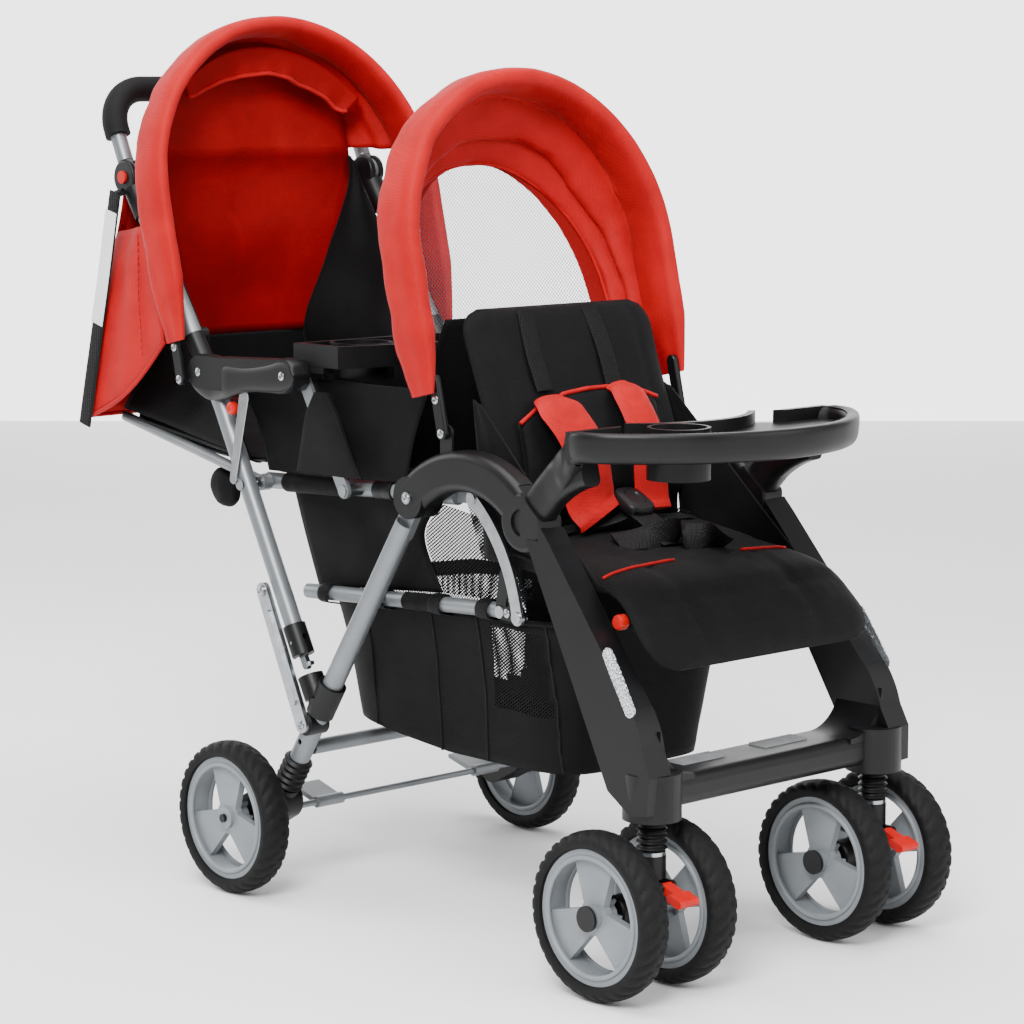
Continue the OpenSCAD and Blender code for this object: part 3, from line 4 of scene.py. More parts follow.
import bmesh
import bpy
import numpy as np
from mathutils import Vector, noise
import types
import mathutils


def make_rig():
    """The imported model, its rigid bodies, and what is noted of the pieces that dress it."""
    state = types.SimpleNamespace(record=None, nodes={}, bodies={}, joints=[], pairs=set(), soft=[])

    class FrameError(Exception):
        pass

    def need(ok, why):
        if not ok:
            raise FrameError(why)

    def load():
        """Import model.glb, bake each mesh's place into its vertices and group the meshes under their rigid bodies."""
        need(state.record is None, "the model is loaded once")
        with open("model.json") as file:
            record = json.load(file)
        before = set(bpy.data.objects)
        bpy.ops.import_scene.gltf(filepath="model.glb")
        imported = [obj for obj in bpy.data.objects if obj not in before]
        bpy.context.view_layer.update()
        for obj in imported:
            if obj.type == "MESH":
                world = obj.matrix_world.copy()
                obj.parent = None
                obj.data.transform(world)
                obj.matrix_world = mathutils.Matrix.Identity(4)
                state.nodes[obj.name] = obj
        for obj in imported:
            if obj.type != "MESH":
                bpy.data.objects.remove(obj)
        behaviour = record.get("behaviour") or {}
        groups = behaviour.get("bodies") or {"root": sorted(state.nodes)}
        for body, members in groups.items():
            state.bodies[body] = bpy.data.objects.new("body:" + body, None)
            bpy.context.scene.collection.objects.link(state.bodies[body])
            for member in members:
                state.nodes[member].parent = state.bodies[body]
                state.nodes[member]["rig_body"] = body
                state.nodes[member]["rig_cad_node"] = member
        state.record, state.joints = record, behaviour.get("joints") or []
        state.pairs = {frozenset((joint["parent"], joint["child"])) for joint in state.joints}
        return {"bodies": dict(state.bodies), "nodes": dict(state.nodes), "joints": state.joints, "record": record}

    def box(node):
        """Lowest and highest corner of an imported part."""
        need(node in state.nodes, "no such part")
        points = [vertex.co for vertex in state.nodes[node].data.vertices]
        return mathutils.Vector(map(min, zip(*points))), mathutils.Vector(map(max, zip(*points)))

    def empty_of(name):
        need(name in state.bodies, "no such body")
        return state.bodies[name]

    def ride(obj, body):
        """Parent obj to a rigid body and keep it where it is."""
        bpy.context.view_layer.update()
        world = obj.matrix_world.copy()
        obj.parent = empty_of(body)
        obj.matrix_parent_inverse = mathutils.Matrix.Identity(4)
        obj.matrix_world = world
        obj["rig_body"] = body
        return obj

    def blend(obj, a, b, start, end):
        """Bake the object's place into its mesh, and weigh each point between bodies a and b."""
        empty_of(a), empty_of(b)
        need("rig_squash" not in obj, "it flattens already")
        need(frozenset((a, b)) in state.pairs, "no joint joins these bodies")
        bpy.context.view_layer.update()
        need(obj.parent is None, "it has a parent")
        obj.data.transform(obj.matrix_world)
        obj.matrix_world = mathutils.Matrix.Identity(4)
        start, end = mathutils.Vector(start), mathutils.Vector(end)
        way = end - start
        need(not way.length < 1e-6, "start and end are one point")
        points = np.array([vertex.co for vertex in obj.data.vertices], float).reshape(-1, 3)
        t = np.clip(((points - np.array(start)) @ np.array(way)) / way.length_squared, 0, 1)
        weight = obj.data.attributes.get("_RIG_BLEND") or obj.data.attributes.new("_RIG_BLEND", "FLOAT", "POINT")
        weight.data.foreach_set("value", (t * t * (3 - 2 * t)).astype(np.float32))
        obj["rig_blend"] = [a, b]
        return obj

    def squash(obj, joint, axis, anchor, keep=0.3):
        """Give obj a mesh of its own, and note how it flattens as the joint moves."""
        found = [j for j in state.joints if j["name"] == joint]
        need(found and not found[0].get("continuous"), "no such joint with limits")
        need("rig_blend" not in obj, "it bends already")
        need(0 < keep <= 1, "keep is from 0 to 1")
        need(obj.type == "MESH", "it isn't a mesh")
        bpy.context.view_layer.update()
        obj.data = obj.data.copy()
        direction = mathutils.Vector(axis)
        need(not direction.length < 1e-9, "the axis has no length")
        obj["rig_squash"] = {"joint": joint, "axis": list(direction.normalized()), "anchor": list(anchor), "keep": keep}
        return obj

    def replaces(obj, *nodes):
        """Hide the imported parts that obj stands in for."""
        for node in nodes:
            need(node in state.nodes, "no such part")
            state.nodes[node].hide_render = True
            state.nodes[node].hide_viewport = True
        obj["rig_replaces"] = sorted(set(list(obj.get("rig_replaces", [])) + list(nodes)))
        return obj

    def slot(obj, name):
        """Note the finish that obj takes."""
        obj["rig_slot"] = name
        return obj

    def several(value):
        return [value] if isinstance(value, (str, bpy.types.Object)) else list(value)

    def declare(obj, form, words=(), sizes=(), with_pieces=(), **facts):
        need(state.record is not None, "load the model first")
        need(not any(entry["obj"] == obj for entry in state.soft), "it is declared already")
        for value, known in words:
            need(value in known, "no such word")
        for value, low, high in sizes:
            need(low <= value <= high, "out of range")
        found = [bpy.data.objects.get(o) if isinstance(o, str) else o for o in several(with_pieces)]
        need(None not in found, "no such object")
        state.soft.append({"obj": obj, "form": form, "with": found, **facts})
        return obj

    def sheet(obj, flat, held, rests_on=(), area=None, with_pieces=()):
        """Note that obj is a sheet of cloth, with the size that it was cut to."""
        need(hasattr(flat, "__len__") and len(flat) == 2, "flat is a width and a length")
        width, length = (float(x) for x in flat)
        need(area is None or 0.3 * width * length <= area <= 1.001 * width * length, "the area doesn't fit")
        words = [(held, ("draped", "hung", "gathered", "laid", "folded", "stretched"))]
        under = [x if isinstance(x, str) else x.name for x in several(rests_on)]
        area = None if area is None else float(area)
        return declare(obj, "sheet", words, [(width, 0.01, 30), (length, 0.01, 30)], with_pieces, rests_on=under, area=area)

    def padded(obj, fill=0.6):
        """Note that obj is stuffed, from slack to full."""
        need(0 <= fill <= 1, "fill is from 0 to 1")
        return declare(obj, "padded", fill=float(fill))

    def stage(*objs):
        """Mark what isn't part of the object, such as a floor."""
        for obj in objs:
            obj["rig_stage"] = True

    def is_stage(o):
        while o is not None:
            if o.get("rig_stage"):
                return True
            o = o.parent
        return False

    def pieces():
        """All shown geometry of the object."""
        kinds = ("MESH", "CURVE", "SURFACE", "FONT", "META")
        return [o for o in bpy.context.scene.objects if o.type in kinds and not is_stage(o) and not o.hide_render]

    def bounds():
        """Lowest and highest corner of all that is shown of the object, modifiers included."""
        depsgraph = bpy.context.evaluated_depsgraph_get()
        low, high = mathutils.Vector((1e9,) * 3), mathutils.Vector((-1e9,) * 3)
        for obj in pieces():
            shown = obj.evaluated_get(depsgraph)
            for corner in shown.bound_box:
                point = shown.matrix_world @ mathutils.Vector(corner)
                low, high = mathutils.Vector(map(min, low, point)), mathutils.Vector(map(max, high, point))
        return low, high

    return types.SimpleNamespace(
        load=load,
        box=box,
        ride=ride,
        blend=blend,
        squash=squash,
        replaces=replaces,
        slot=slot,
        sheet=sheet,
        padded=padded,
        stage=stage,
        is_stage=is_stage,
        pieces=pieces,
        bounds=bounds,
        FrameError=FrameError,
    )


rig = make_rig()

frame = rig.load()
cadLow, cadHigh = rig.bounds()
nodes = frame["nodes"]
mm = 0.001
print("frame loaded:", len(nodes), "nodes")


# Materials

def linear(hexColour):
    parts = [int(hexColour[i:i + 2], 16) / 255 for i in (1, 3, 5)]
    return [p / 12.92 if p <= 0.04045 else ((p + 0.055) / 1.055) ** 2.4 for p in parts] + [1.0]


def addNode(tree, kind, values=None, links=None, **settings):
    made = tree.nodes.new(kind)
    for name, value in settings.items():
        setattr(made, name, value)
    for socket, value in (values or {}).items():
        made.inputs[socket].default_value = value
    for socket, source in (links or {}).items():
        tree.links.new(source, made.inputs[socket])
    return made


def startMaterial(name, sockets):
    made = bpy.data.materials.new(name)
    made.use_nodes = True
    tree = made.node_tree
    shader = tree.nodes["Principled BSDF"]
    for socket, value in sockets.items():
        shader.inputs[socket].default_value = value
    place = addNode(tree, "ShaderNodeTexCoord").outputs["Object"]
    return made, tree, shader, place


# Hard finishes: cloudy colour, a grain in the surface and a roughness that wanders a little
def hardFinish(name, colours, sockets, patchMm, grainMm, grainHeightMm, roughSpan):
    made, tree, shader, place = startMaterial(name, sockets)
    patch = addNode(tree, "ShaderNodeTexNoise", {"Scale": 1 / (patchMm * mm), "Detail": 3.0},
                    {"Vector": place})
    tint = addNode(tree, "ShaderNodeValToRGB", links={"Fac": patch.outputs["Fac"]})
    tint.color_ramp.elements[0].color = linear(colours[0])
    tint.color_ramp.elements[1].color = linear(colours[1])
    tint.color_ramp.elements[0].position = 0.3
    tint.color_ramp.elements[1].position = 0.7
    tree.links.new(tint.outputs["Color"], shader.inputs["Base Color"])
    rough = addNode(tree, "ShaderNodeMapRange", {"To Min": roughSpan[0], "To Max": roughSpan[1]},
                    {"Value": patch.outputs["Fac"]})
    tree.links.new(rough.outputs["Result"], shader.inputs["Roughness"])
    grain = addNode(tree, "ShaderNodeTexNoise", {"Scale": 1 / (grainMm * mm), "Detail": 2.0},
                    {"Vector": place})
    bump = addNode(tree, "ShaderNodeBump", {"Strength": 0.5, "Distance": grainHeightMm * mm},
                   {"Height": grain.outputs["Fac"]})
    tree.links.new(bump.outputs["Normal"], shader.inputs["Normal"])
    return made


# Cloth: threads crossing on all three axes, so the weave shows whichever way a panel faces
def wovenFinish(name, colours, sockets, threadMm, threadHeightMm, creaseMm, creaseHeightMm):
    made, tree, shader, place = startMaterial(name, sockets)
    scaled = addNode(tree, "ShaderNodeVectorMath", {"Scale": math.pi / (threadMm * mm)}, {0: place},
                     operation="SCALE")
    waves = addNode(tree, "ShaderNodeVectorMath", links={0: scaled.outputs[0]}, operation="SINE")
    split = addNode(tree, "ShaderNodeSeparateXYZ", links={0: waves.outputs[0]})
    turned = addNode(tree, "ShaderNodeCombineXYZ",
                     links={0: split.outputs[1], 1: split.outputs[2], 2: split.outputs[0]})
    weave = addNode(tree, "ShaderNodeVectorMath", links={0: waves.outputs[0], 1: turned.outputs[0]},
                    operation="DOT_PRODUCT")
    crease = addNode(tree, "ShaderNodeTexNoise",
                     {"Scale": 1 / (creaseMm * mm), "Detail": 4.0, "Distortion": 0.6}, {"Vector": place})
    tint = addNode(tree, "ShaderNodeValToRGB", links={"Fac": crease.outputs["Fac"]})
    tint.color_ramp.elements[0].color = linear(colours[0])
    tint.color_ramp.elements[1].color = linear(colours[1])
    tint.color_ramp.elements[0].position = 0.25
    tint.color_ramp.elements[1].position = 0.75
    thread = addNode(tree, "ShaderNodeMapRange",
                     {"From Min": -1.0, "From Max": 1.0, "To Min": 0.86, "To Max": 1.05},
                     {"Value": weave.outputs["Value"]})
    shade = addNode(tree, "ShaderNodeVectorMath", operation="SCALE",
                    links={0: tint.outputs["Color"], "Scale": thread.outputs["Result"]})
    tree.links.new(shade.outputs[0], shader.inputs["Base Color"])
    slow = addNode(tree, "ShaderNodeBump", {"Strength": 0.6, "Distance": creaseHeightMm * mm},
                   {"Height": crease.outputs["Fac"]})
    fine = addNode(tree, "ShaderNodeBump", {"Strength": 0.5, "Distance": threadHeightMm * mm},
                   {"Height": weave.outputs["Value"], "Normal": slow.outputs["Normal"]})
    tree.links.new(fine.outputs["Normal"], shader.inputs["Normal"])
    return made


# Open net: diamonds between crossing threads, cut out through the shader's alpha
def netFinish(name, colour, sockets, pitchMm, threadShare):
    made, tree, shader, place = startMaterial(name, {"Base Color": linear(colour), **sockets})
    along = addNode(tree, "ShaderNodeVectorMath", {1: (0.7, 1.0, 1.0)}, {0: place}, operation="DOT_PRODUCT")
    across = addNode(tree, "ShaderNodeVectorMath", {1: (0.7, 1.0, -1.0)}, {0: place}, operation="DOT_PRODUCT")
    threads = []
    for run in (along, across):
        turns = addNode(tree, "ShaderNodeMath", {1: math.pi / (pitchMm * mm)}, {0: run.outputs["Value"]},
                        operation="MULTIPLY")
        wave = addNode(tree, "ShaderNodeMath", links={0: turns.outputs[0]}, operation="SINE")
        threads.append(addNode(tree, "ShaderNodeMath", links={0: wave.outputs[0]}, operation="ABSOLUTE"))
    least = addNode(tree, "ShaderNodeMath", links={0: threads[0].outputs[0], 1: threads[1].outputs[0]},
                    operation="MINIMUM")
    solid = addNode(tree, "ShaderNodeMath", {1: threadShare}, {0: least.outputs[0]}, operation="LESS_THAN")
    tree.links.new(solid.outputs[0], shader.inputs["Alpha"])
    bump = addNode(tree, "ShaderNodeBump", {"Strength": 0.4, "Distance": 0.4 * mm},
                   {"Height": least.outputs[0]}, invert=True)
    tree.links.new(bump.outputs["Normal"], shader.inputs["Normal"])
    return made


# Powder-coated steel tube: satin silver paint with a faint orange peel
silverCoat = hardFinish("silver_powder_coat", ("#6f7376", "#7e8285"), {"Metallic": 0.55, "Roughness": 0.4},
                        60, 1.6, 0.05, (0.36, 0.46))
# Zinc-plated pressed steel: brighter, a little blotchy
zincPlate = hardFinish("zinc_plated_steel", ("#94979a", "#a9acae"), {"Metallic": 1.0, "Roughness": 0.3},
                       14, 0.9, 0.04, (0.24, 0.36))
# Black paint on steel
blackPaint = hardFinish("black_painted_steel", ("#08080a", "#0d0d0f"),
                        {"Roughness": 0.4, "Specular IOR Level": 0.25}, 20, 1.2, 0.04, (0.34, 0.46))
# Moulded ABS, spark-eroded satin; real grit 0.3 mm, drawn at 1.1 mm so that it shows
blackAbs = hardFinish("moulded_abs_black", ("#070708", "#0c0c0e"),
                      {"Roughness": 0.42, "IOR": 1.53, "Specular IOR Level": 0.24},
                      45, 1.1, 0.06, (0.36, 0.48))
# Moulded ABS, smoother and glossier for the small red grips
redAbs = hardFinish("moulded_abs_red", ("#a80a07", "#b90f0a"),
                    {"Roughness": 0.32, "IOR": 1.53, "Specular IOR Level": 0.2},
                    16, 0.9, 0.04, (0.28, 0.36))
# Moulded polypropylene rims: grey with a soft shine
greyPp = hardFinish("moulded_polypropylene_grey", ("#6b7074", "#787d81"), {"Roughness": 0.45, "IOR": 1.49},
                    50, 1.0, 0.04, (0.38, 0.5))
# EVA foam tyres: matt, closed pores of about 0.8 mm
evaFoam = hardFinish("eva_foam_tyre", ("#070708", "#0c0c0d"),
                     {"Roughness": 0.75, "Specular IOR Level": 0.2}, 30, 0.9, 0.12, (0.6, 0.78))
# Sponge-rubber sleeve on the handle
gripFoam = hardFinish("nitrile_foam_grip", ("#060607", "#0a0a0c"),
                      {"Roughness": 0.8, "Specular IOR Level": 0.2}, 25, 1.3, 0.15, (0.68, 0.85))
# Rubber bellows
bootRubber = hardFinish("moulded_rubber_boot", ("#060607", "#0a0a0b"),
                        {"Roughness": 0.5, "Specular IOR Level": 0.25}, 20, 1.0, 0.05, (0.42, 0.55))
# Grey thermoplastic rubber treads on the step
treadRubber = hardFinish("step_tread_rubber", ("#6d6f71", "#7b7d7f"), {"Roughness": 0.7},
                         18, 1.6, 0.2, (0.6, 0.75))
# Red polyester taffeta; threads 0.35 mm, drawn at 1.2 mm
redTaffeta = wovenFinish("woven_polyester_red", ("#980308", "#b0060c"),
                         {"Roughness": 0.62, "Specular IOR Level": 0.15, "Sheen Weight": 0.04,
                          "Sheen Roughness": 0.4}, 1.2, 0.1, 55, 1.6)
# Red taffeta darkened as painted shade for the inside of the rear hood and its pocket: the same red, duller and darker
redPaintedShade = wovenFinish("taffeta_coated_back_red", ("#780206", "#8c0408"),
                        {"Roughness": 0.7, "Specular IOR Level": 0.1}, 1.2, 0.1, 55, 1.6)
# Padded red oxford for the shoulder pads
redOxford = wovenFinish("oxford_polyester_red", ("#960408", "#ae070c"),
                        {"Roughness": 0.58, "Specular IOR Level": 0.15, "Sheen Weight": 0.04,
                         "Sheen Roughness": 0.4}, 1.5, 0.12, 30, 0.8)
# Black polyester oxford; threads 0.5 mm, drawn at 1.5 mm
blackOxford = wovenFinish("oxford_polyester_black", ("#040405", "#08080a"),
                          {"Roughness": 0.72, "Specular IOR Level": 0.12, "Sheen Weight": 0.02,
                           "Sheen Roughness": 0.5}, 1.5, 0.14, 40, 1.4)
# Nylon webbing: coarse ribs
webbing = wovenFinish("nylon_webbing_black", ("#050506", "#0a0a0b"),
                      {"Roughness": 0.6, "Specular IOR Level": 0.16, "Sheen Weight": 0.02,
                       "Sheen Roughness": 0.4}, 2.2, 0.3, 22, 0.3)
# Printed-label cloth, left blank
labelCloth = wovenFinish("satin_label_white", ("#d9dade", "#e6e7ea"), {"Roughness": 0.55}, 1.2, 0.05, 40, 0.4)
# Knitted nets; real holes 1.8 mm, drawn at 4 to 5 mm; the red border is knitted shut
paleNet = netFinish("knitted_net_pale", "#3c4046", {"Roughness": 0.6}, 5.0, 0.33)
redNet = netFinish("knitted_net_red", "#7c0306", {"Roughness": 0.6, "Specular IOR Level": 0.15}, 4.4, 1.01)
blackNet = netFinish("knitted_net_black", "#060607", {"Roughness": 0.7, "Specular IOR Level": 0.15}, 4.2, 0.5)


# Prismatic reflector: clear pebbles over foil
def reflectorFinish():
    made, tree, shader, place = startMaterial(
        "prismatic_reflector", {"Base Color": linear("#c9ced2"), "Metallic": 0.85, "Roughness": 0.2})
    pebble = addNode(tree, "ShaderNodeTexVoronoi", {"Scale": 1 / (3.2 * mm)}, {"Vector": place})
    bump = addNode(tree, "ShaderNodeBump", {"Strength": 1.0, "Distance": 1.2 * mm},
                   {"Height": pebble.outputs["Distance"]}, invert=True)
    tree.links.new(bump.outputs["Normal"], shader.inputs["Normal"])
    return made


reflectorFoil = reflectorFinish()

nodeFinish = {
    blackAbs: ["footrest_frame", "arch_right", "arch_left", "link_plates", "leg_brackets", "push_collars",
               "handle_knuckles", "armrests", "rear_tray", "front_tray", "rear_canopy_hinges",
               "caster_fork_right", "caster_fork_left", "rear_axle_housings"],
    silverCoat: ["seat_rails", "side_rails", "rear_legs", "rear_cross_tube", "push_tubes", "handle_tube",
                 "armrest_struts", "rear_back_tube", "brake_bar"],
    zincPlate: ["curved_links", "frame_rivets", "latch_bars", "latch_hooks", "caster_stem_right",
                "caster_stem_left", "front_canopy_bow", "rear_canopy_bow"],
    redAbs: ["knuckle_button_right", "knuckle_button_left", "caster_lever_right", "caster_lever_left"],
    greyPp: ["rim_right_outer", "rim_right_inner", "rim_left_inner", "rim_left_outer", "rear_rim_right",
             "rear_rim_left"],
    blackPaint: ["caster_axle_right", "caster_axle_left"],
    bootRubber: ["front_boots", "rear_boots"],
    gripFoam: ["handle_grip"],
}
for finish, names in nodeFinish.items():
    for nodeName in names:
        data = nodes[nodeName].data
        data.materials.clear()
        data.materials.append(finish)

# Slot of the record that each finish of a new piece stands for
finishSlot = {
    redTaffeta: "red_cloth", redPaintedShade: "red_cloth", redOxford: "red_cloth", redNet: "red_cloth",
    blackOxford: "black_cloth", webbing: "black_cloth", blackNet: "black_cloth",
    blackAbs: "black_plastic", redAbs: "red_plastic", treadRubber: "grey_plastic",
    zincPlate: "steel", evaFoam: "tyre_foam", bootRubber: "boot_rubber",
}
print("materials made and CAD nodes painted")


# Building blocks; all lengths below are millimetres in the CAD frame

bothSides = ((-1, "right"), (1, "left"))
flipSide = np.array((1, -1, 1))


def gridFaces(rows, cols, start=0, closeRows=False, closeCols=False):
    faces = []
    for i in range(rows if closeRows else rows - 1):
        for j in range(cols if closeCols else cols - 1):
            a, b = i * cols, ((i + 1) % rows) * cols
            k = (j + 1) % cols
            faces.append((start + a + j, start + a + k, start + b + k, start + b + j))
    return faces


# Faces of a row of rings with both ends closed
def tubeFaces(rows, cols, start=0):
    last = start + (rows - 1) * cols
    ends = [tuple(range(start, start + cols))[::-1], tuple(range(last, last + cols))]
    return gridFaces(rows, cols, start, closeCols=True) + ends


# Faces of two sheets laid back to back
def pairFaces(rows, cols):
    return gridFaces(rows, cols) + [f[::-1] for f in gridFaces(rows, cols, rows * cols)]


# Cosine and sine at even steps round a circle
def circle(count):
    turns = [2 * math.pi * k / count for k in range(count)]
    return [(math.cos(a), math.sin(a)) for a in turns]


# Power that keeps its sign; a low one squares a circle off
def signedPower(value, power):
    return math.copysign(abs(value) ** power, value)


def build(name, points, faces, material, body=None, weld=0.0, sharp=None):
    mesh = bpy.data.meshes.new(name)
    mesh.from_pydata([(p[0] * mm, p[1] * mm, p[2] * mm) for p in points], [], faces)
    shape = bmesh.new()
    shape.from_mesh(mesh)
    if weld:
        bmesh.ops.remove_doubles(shape, verts=shape.verts, dist=weld * mm)
    bmesh.ops.recalc_face_normals(shape, faces=shape.faces)
    shape.to_mesh(mesh)
    shape.free()
    mesh.validate()
    mesh.shade_smooth()
    if sharp:
        mesh.set_sharp_from_angle(angle=math.radians(sharp))
    finishes = material if isinstance(material, list) else [material]
    for each in finishes:
        mesh.materials.append(each)
    piece = bpy.data.objects.new(name, mesh)
    bpy.context.scene.collection.objects.link(piece)
    if body:
        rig.ride(piece, body)
    if finishes[0] in finishSlot:
        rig.slot(piece, finishSlot[finishes[0]])
    return piece


def thicken(piece, thickMm):
    added = piece.modifiers.new("solidify", "SOLIDIFY")
    added.thickness = thickMm * mm
    added.offset = 0


def curveThrough(points, count):
    pts = [np.array(p, float) for p in points]
    pts = [2 * pts[0] - pts[1]] + pts + [2 * pts[-1] - pts[-2]]
    spans = len(pts) - 3
    out = []
    for i in range(count):
        u = i / (count - 1) * spans
        k = min(int(u), spans - 1)
        t = u - k
        a, b, c, d = pts[k:k + 4]
        line = 2 * b + (c - a) * t
        out.append(0.5 * (line + (2 * a - 5 * b + 4 * c - d) * t * t + (3 * b - a - 3 * c + d) * t ** 3))
    return out


def lengthsOf(points):
    return np.cumsum([0] + [np.linalg.norm(b - a) for a, b in zip(points, points[1:])])


def pointAt(points, lengths, d):
    return np.array([np.interp(d, lengths, [p[k] for p in points]) for k in range(3)])


# A few values spread evenly over a count of steps
def spread(values, count):
    return np.interp(np.linspace(0, 1, count), np.linspace(0, 1, len(values)), values)


def unit(v):
    v = np.array(v, float)
    return v / max(np.linalg.norm(v), 1e-9)


def wander(p, sizeMm, seed=0.0):
    return noise.noise(Vector((p[0] / sizeMm + seed, p[1] / sizeMm - seed, p[2] / sizeMm + 0.5 * seed)))


# A round cord along points: piping, rods, seams
askew = (0.31, 0.22, 0.93)  # a direction that no cord runs along


def roundRun(points, radius, sides=8, closed=False):
    pts = [np.array(p, float) for p in points]
    count = len(pts)
    verts = []
    side = None
    for i in range(count):
        ahead = pts[(i + 1) % count] if closed or i < count - 1 else pts[i]
        behind = pts[i - 1] if closed or i > 0 else pts[i]
        run = unit(ahead - behind)
        if side is None:
            side = unit(np.cross(run, askew))
        side = unit(side - run * (side @ run))
        other = np.cross(run, side)
        verts += [pts[i] + radius * (c * side + s * other) for c, s in circle(sides)]
    if closed:
        return verts, gridFaces(count, sides, closeRows=True, closeCols=True)
    return verts, tubeFaces(count, sides)


# A padded cord sewn along a line
def sewnCord(name, line, radius, material, body, sides=8, closed=False, fill=1):
    verts, faces = roundRun(line, radius, sides, closed)
    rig.padded(build(name, verts, faces, material, body), fill=fill)


# A strap or flat pad along a line, with its own widths, a crowned face and round edges
def strap(name, line, widths, thick, side, material, body, count, crown, cols=11):
    path = curveThrough(line, count)
    wide = spread(widths, count)
    sideways = unit(side)
    verts = []
    for i in range(count):
        run = unit(path[min(i + 1, count - 1)] - path[max(i - 1, 0)])
        across = unit(sideways - run * (sideways @ run))
        up = np.cross(run, across)
        for face in (1, -1):
            for j in range(cols):
                v = (2 * j / (cols - 1) - 1) * face
                edge = (1 - abs(v) ** 4) ** 0.5
                lift = face * thick / 2 * (edge * (1 - crown) + crown * edge * (1 - v * v))
                verts.append(path[i] + across * v * wide[i] / 2 + up * lift)
    return build(name, verts, tubeFaces(count, 2 * cols), material, body, weld=0.2, sharp=60)


# Sewing thread: short raised stitches along a line
def stitches(name, line, material, body, lengthMm, gapMm, radius):
    pts = [np.array(p, float) for p in line]
    lengths = lengthsOf(pts)
    verts, faces = [], []
    at = gapMm
    while at + lengthMm < lengths[-1]:
        first, last = pointAt(pts, lengths, at), pointAt(pts, lengths, at + lengthMm)
        v, f = roundRun([first, (first + last) / 2 + (0, 0, 0.2), last], radius, 6)
        faces += [tuple(i + len(verts) for i in face) for face in f]
        verts += v
        at += lengthMm + gapMm
    build(name, verts, faces, material, body)


# Rings of one round piece that faces along Y, from heights and radii
def roundPiece(name, profile, middle, sign, sides, material, body, weld, sharp):
    verts = [(middle[0] + r * c, sign * h, middle[1] + r * s) for h, r in profile for c, s in circle(sides)]
    build(name, verts, gridFaces(len(profile), sides, closeCols=True), material, body, weld, sharp)


# Camera, light and floor

camera = {"place": (2743.97, -2479.34, 975.12), "azimuth": 47.39, "elevation": 7.93, "lens": 109.3,
          "sensor": 36.0, "farMetres": 100.0}
data = bpy.data.cameras.new("photo_camera")
data.lens = camera["lens"]
data.sensor_width = camera["sensor"]
data.clip_end = camera["farMetres"]
eye = bpy.data.objects.new("photo_camera", data)
bpy.context.scene.collection.objects.link(eye)
eye.location = [c * mm for c in camera["place"]]
turn, rise = math.radians(camera["azimuth"]), math.radians(camera["elevation"])
backward = Vector((math.sin(turn) * math.cos(rise), -math.cos(turn) * math.cos(rise), math.sin(rise)))
eye.rotation_mode = "QUATERNION"
eye.rotation_quaternion = (-backward).to_track_quat("-Z", "Y")
bpy.context.scene.camera = eye

studio = {"floorHalf": 9000, "floorTop": -0.5, "away": 5200, "halfWidth": 4200, "height": 4200, "glow": 1.9,
          "sky": 0.42, "aimMetres": (0, 0, 0.5)}
studioWhite = ("#f1f1f1", "#f5f5f5")
mattPaper = (900, 30, 0.01, (0.85, 0.95))
corners = [(x * studio["floorHalf"], y * studio["floorHalf"], studio["floorTop"])
           for x, y in ((-1, -1), (1, -1), (1, 1), (-1, 1))]
floorFinish = hardFinish("studio_floor_white", studioWhite, {"Roughness": 0.9}, *mattPaper)
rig.stage(build("studio_floor", corners, [(0, 1, 2, 3)], floorFinish))

# Lit white paper behind the object, as in a studio
ahead, aside = np.array((-math.sin(turn), math.cos(turn), 0)), np.array((math.cos(turn), math.sin(turn), 0))
corners = [ahead * studio["away"] + aside * studio["halfWidth"] * s + np.array((0, 0, h))
           for s, h in ((-1, 0), (1, 0), (1, studio["height"]), (-1, studio["height"]))]
paperFinish = hardFinish("studio_paper_white", studioWhite,
                         {"Roughness": 0.9, "Emission Color": linear("#ffffff"),
                          "Emission Strength": studio["glow"]}, *mattPaper)
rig.stage(build("studio_backdrop", corners, [(0, 1, 2, 3)], paperFinish))

lights = {  # name: place in metres, size in metres, power in watts
    "key": ((2.2, -3.0, 3.4), 1.8, 330),
    "fill": ((3.4, 1.6, 2.0), 2.6, 75),
    "top": ((0.2, -0.2, 3.6), 3.0, 190),
    "rim": ((-2.8, -1.2, 1.8), 2.0, 60),
}
for name, (place, size, power) in lights.items():
    lamp = bpy.data.lights.new("softbox_" + name, "AREA")
    lamp.energy = power
    lamp.size = size
    box = bpy.data.objects.new("softbox_" + name, lamp)
    bpy.context.scene.collection.objects.link(box)
    box.location = place
    box.rotation_mode = "QUATERNION"
    box.rotation_quaternion = (Vector(studio["aimMetres"]) - Vector(place)).to_track_quat("-Z", "Y")
sky = bpy.data.worlds.new("studio_white")
bpy.context.scene.world = sky
sky.use_nodes = True
sky.node_tree.nodes["Background"].inputs["Color"].default_value = linear("#ffffff")
sky.node_tree.nodes["Background"].inputs["Strength"].default_value = studio["sky"]
print("camera, light and floor set")


# Canopy hoops: straight legs under a half circle, leaning back

lean = math.radians(13)
upRim = np.array((-math.sin(lean), 0, math.cos(lean)))
backRim = np.array((-math.cos(lean), 0, -math.sin(lean)))
frontHoop = {"pivot": (141, 581), "half": 200, "height": 405, "foot": 46}
rearHoop = {"pivot": (-316.3, 611.6), "half": 217, "height": 438, "foot": 46}


def pivotOf(hoop, y=0):
    return np.array((hoop["pivot"][0], y, hoop["pivot"][1]))


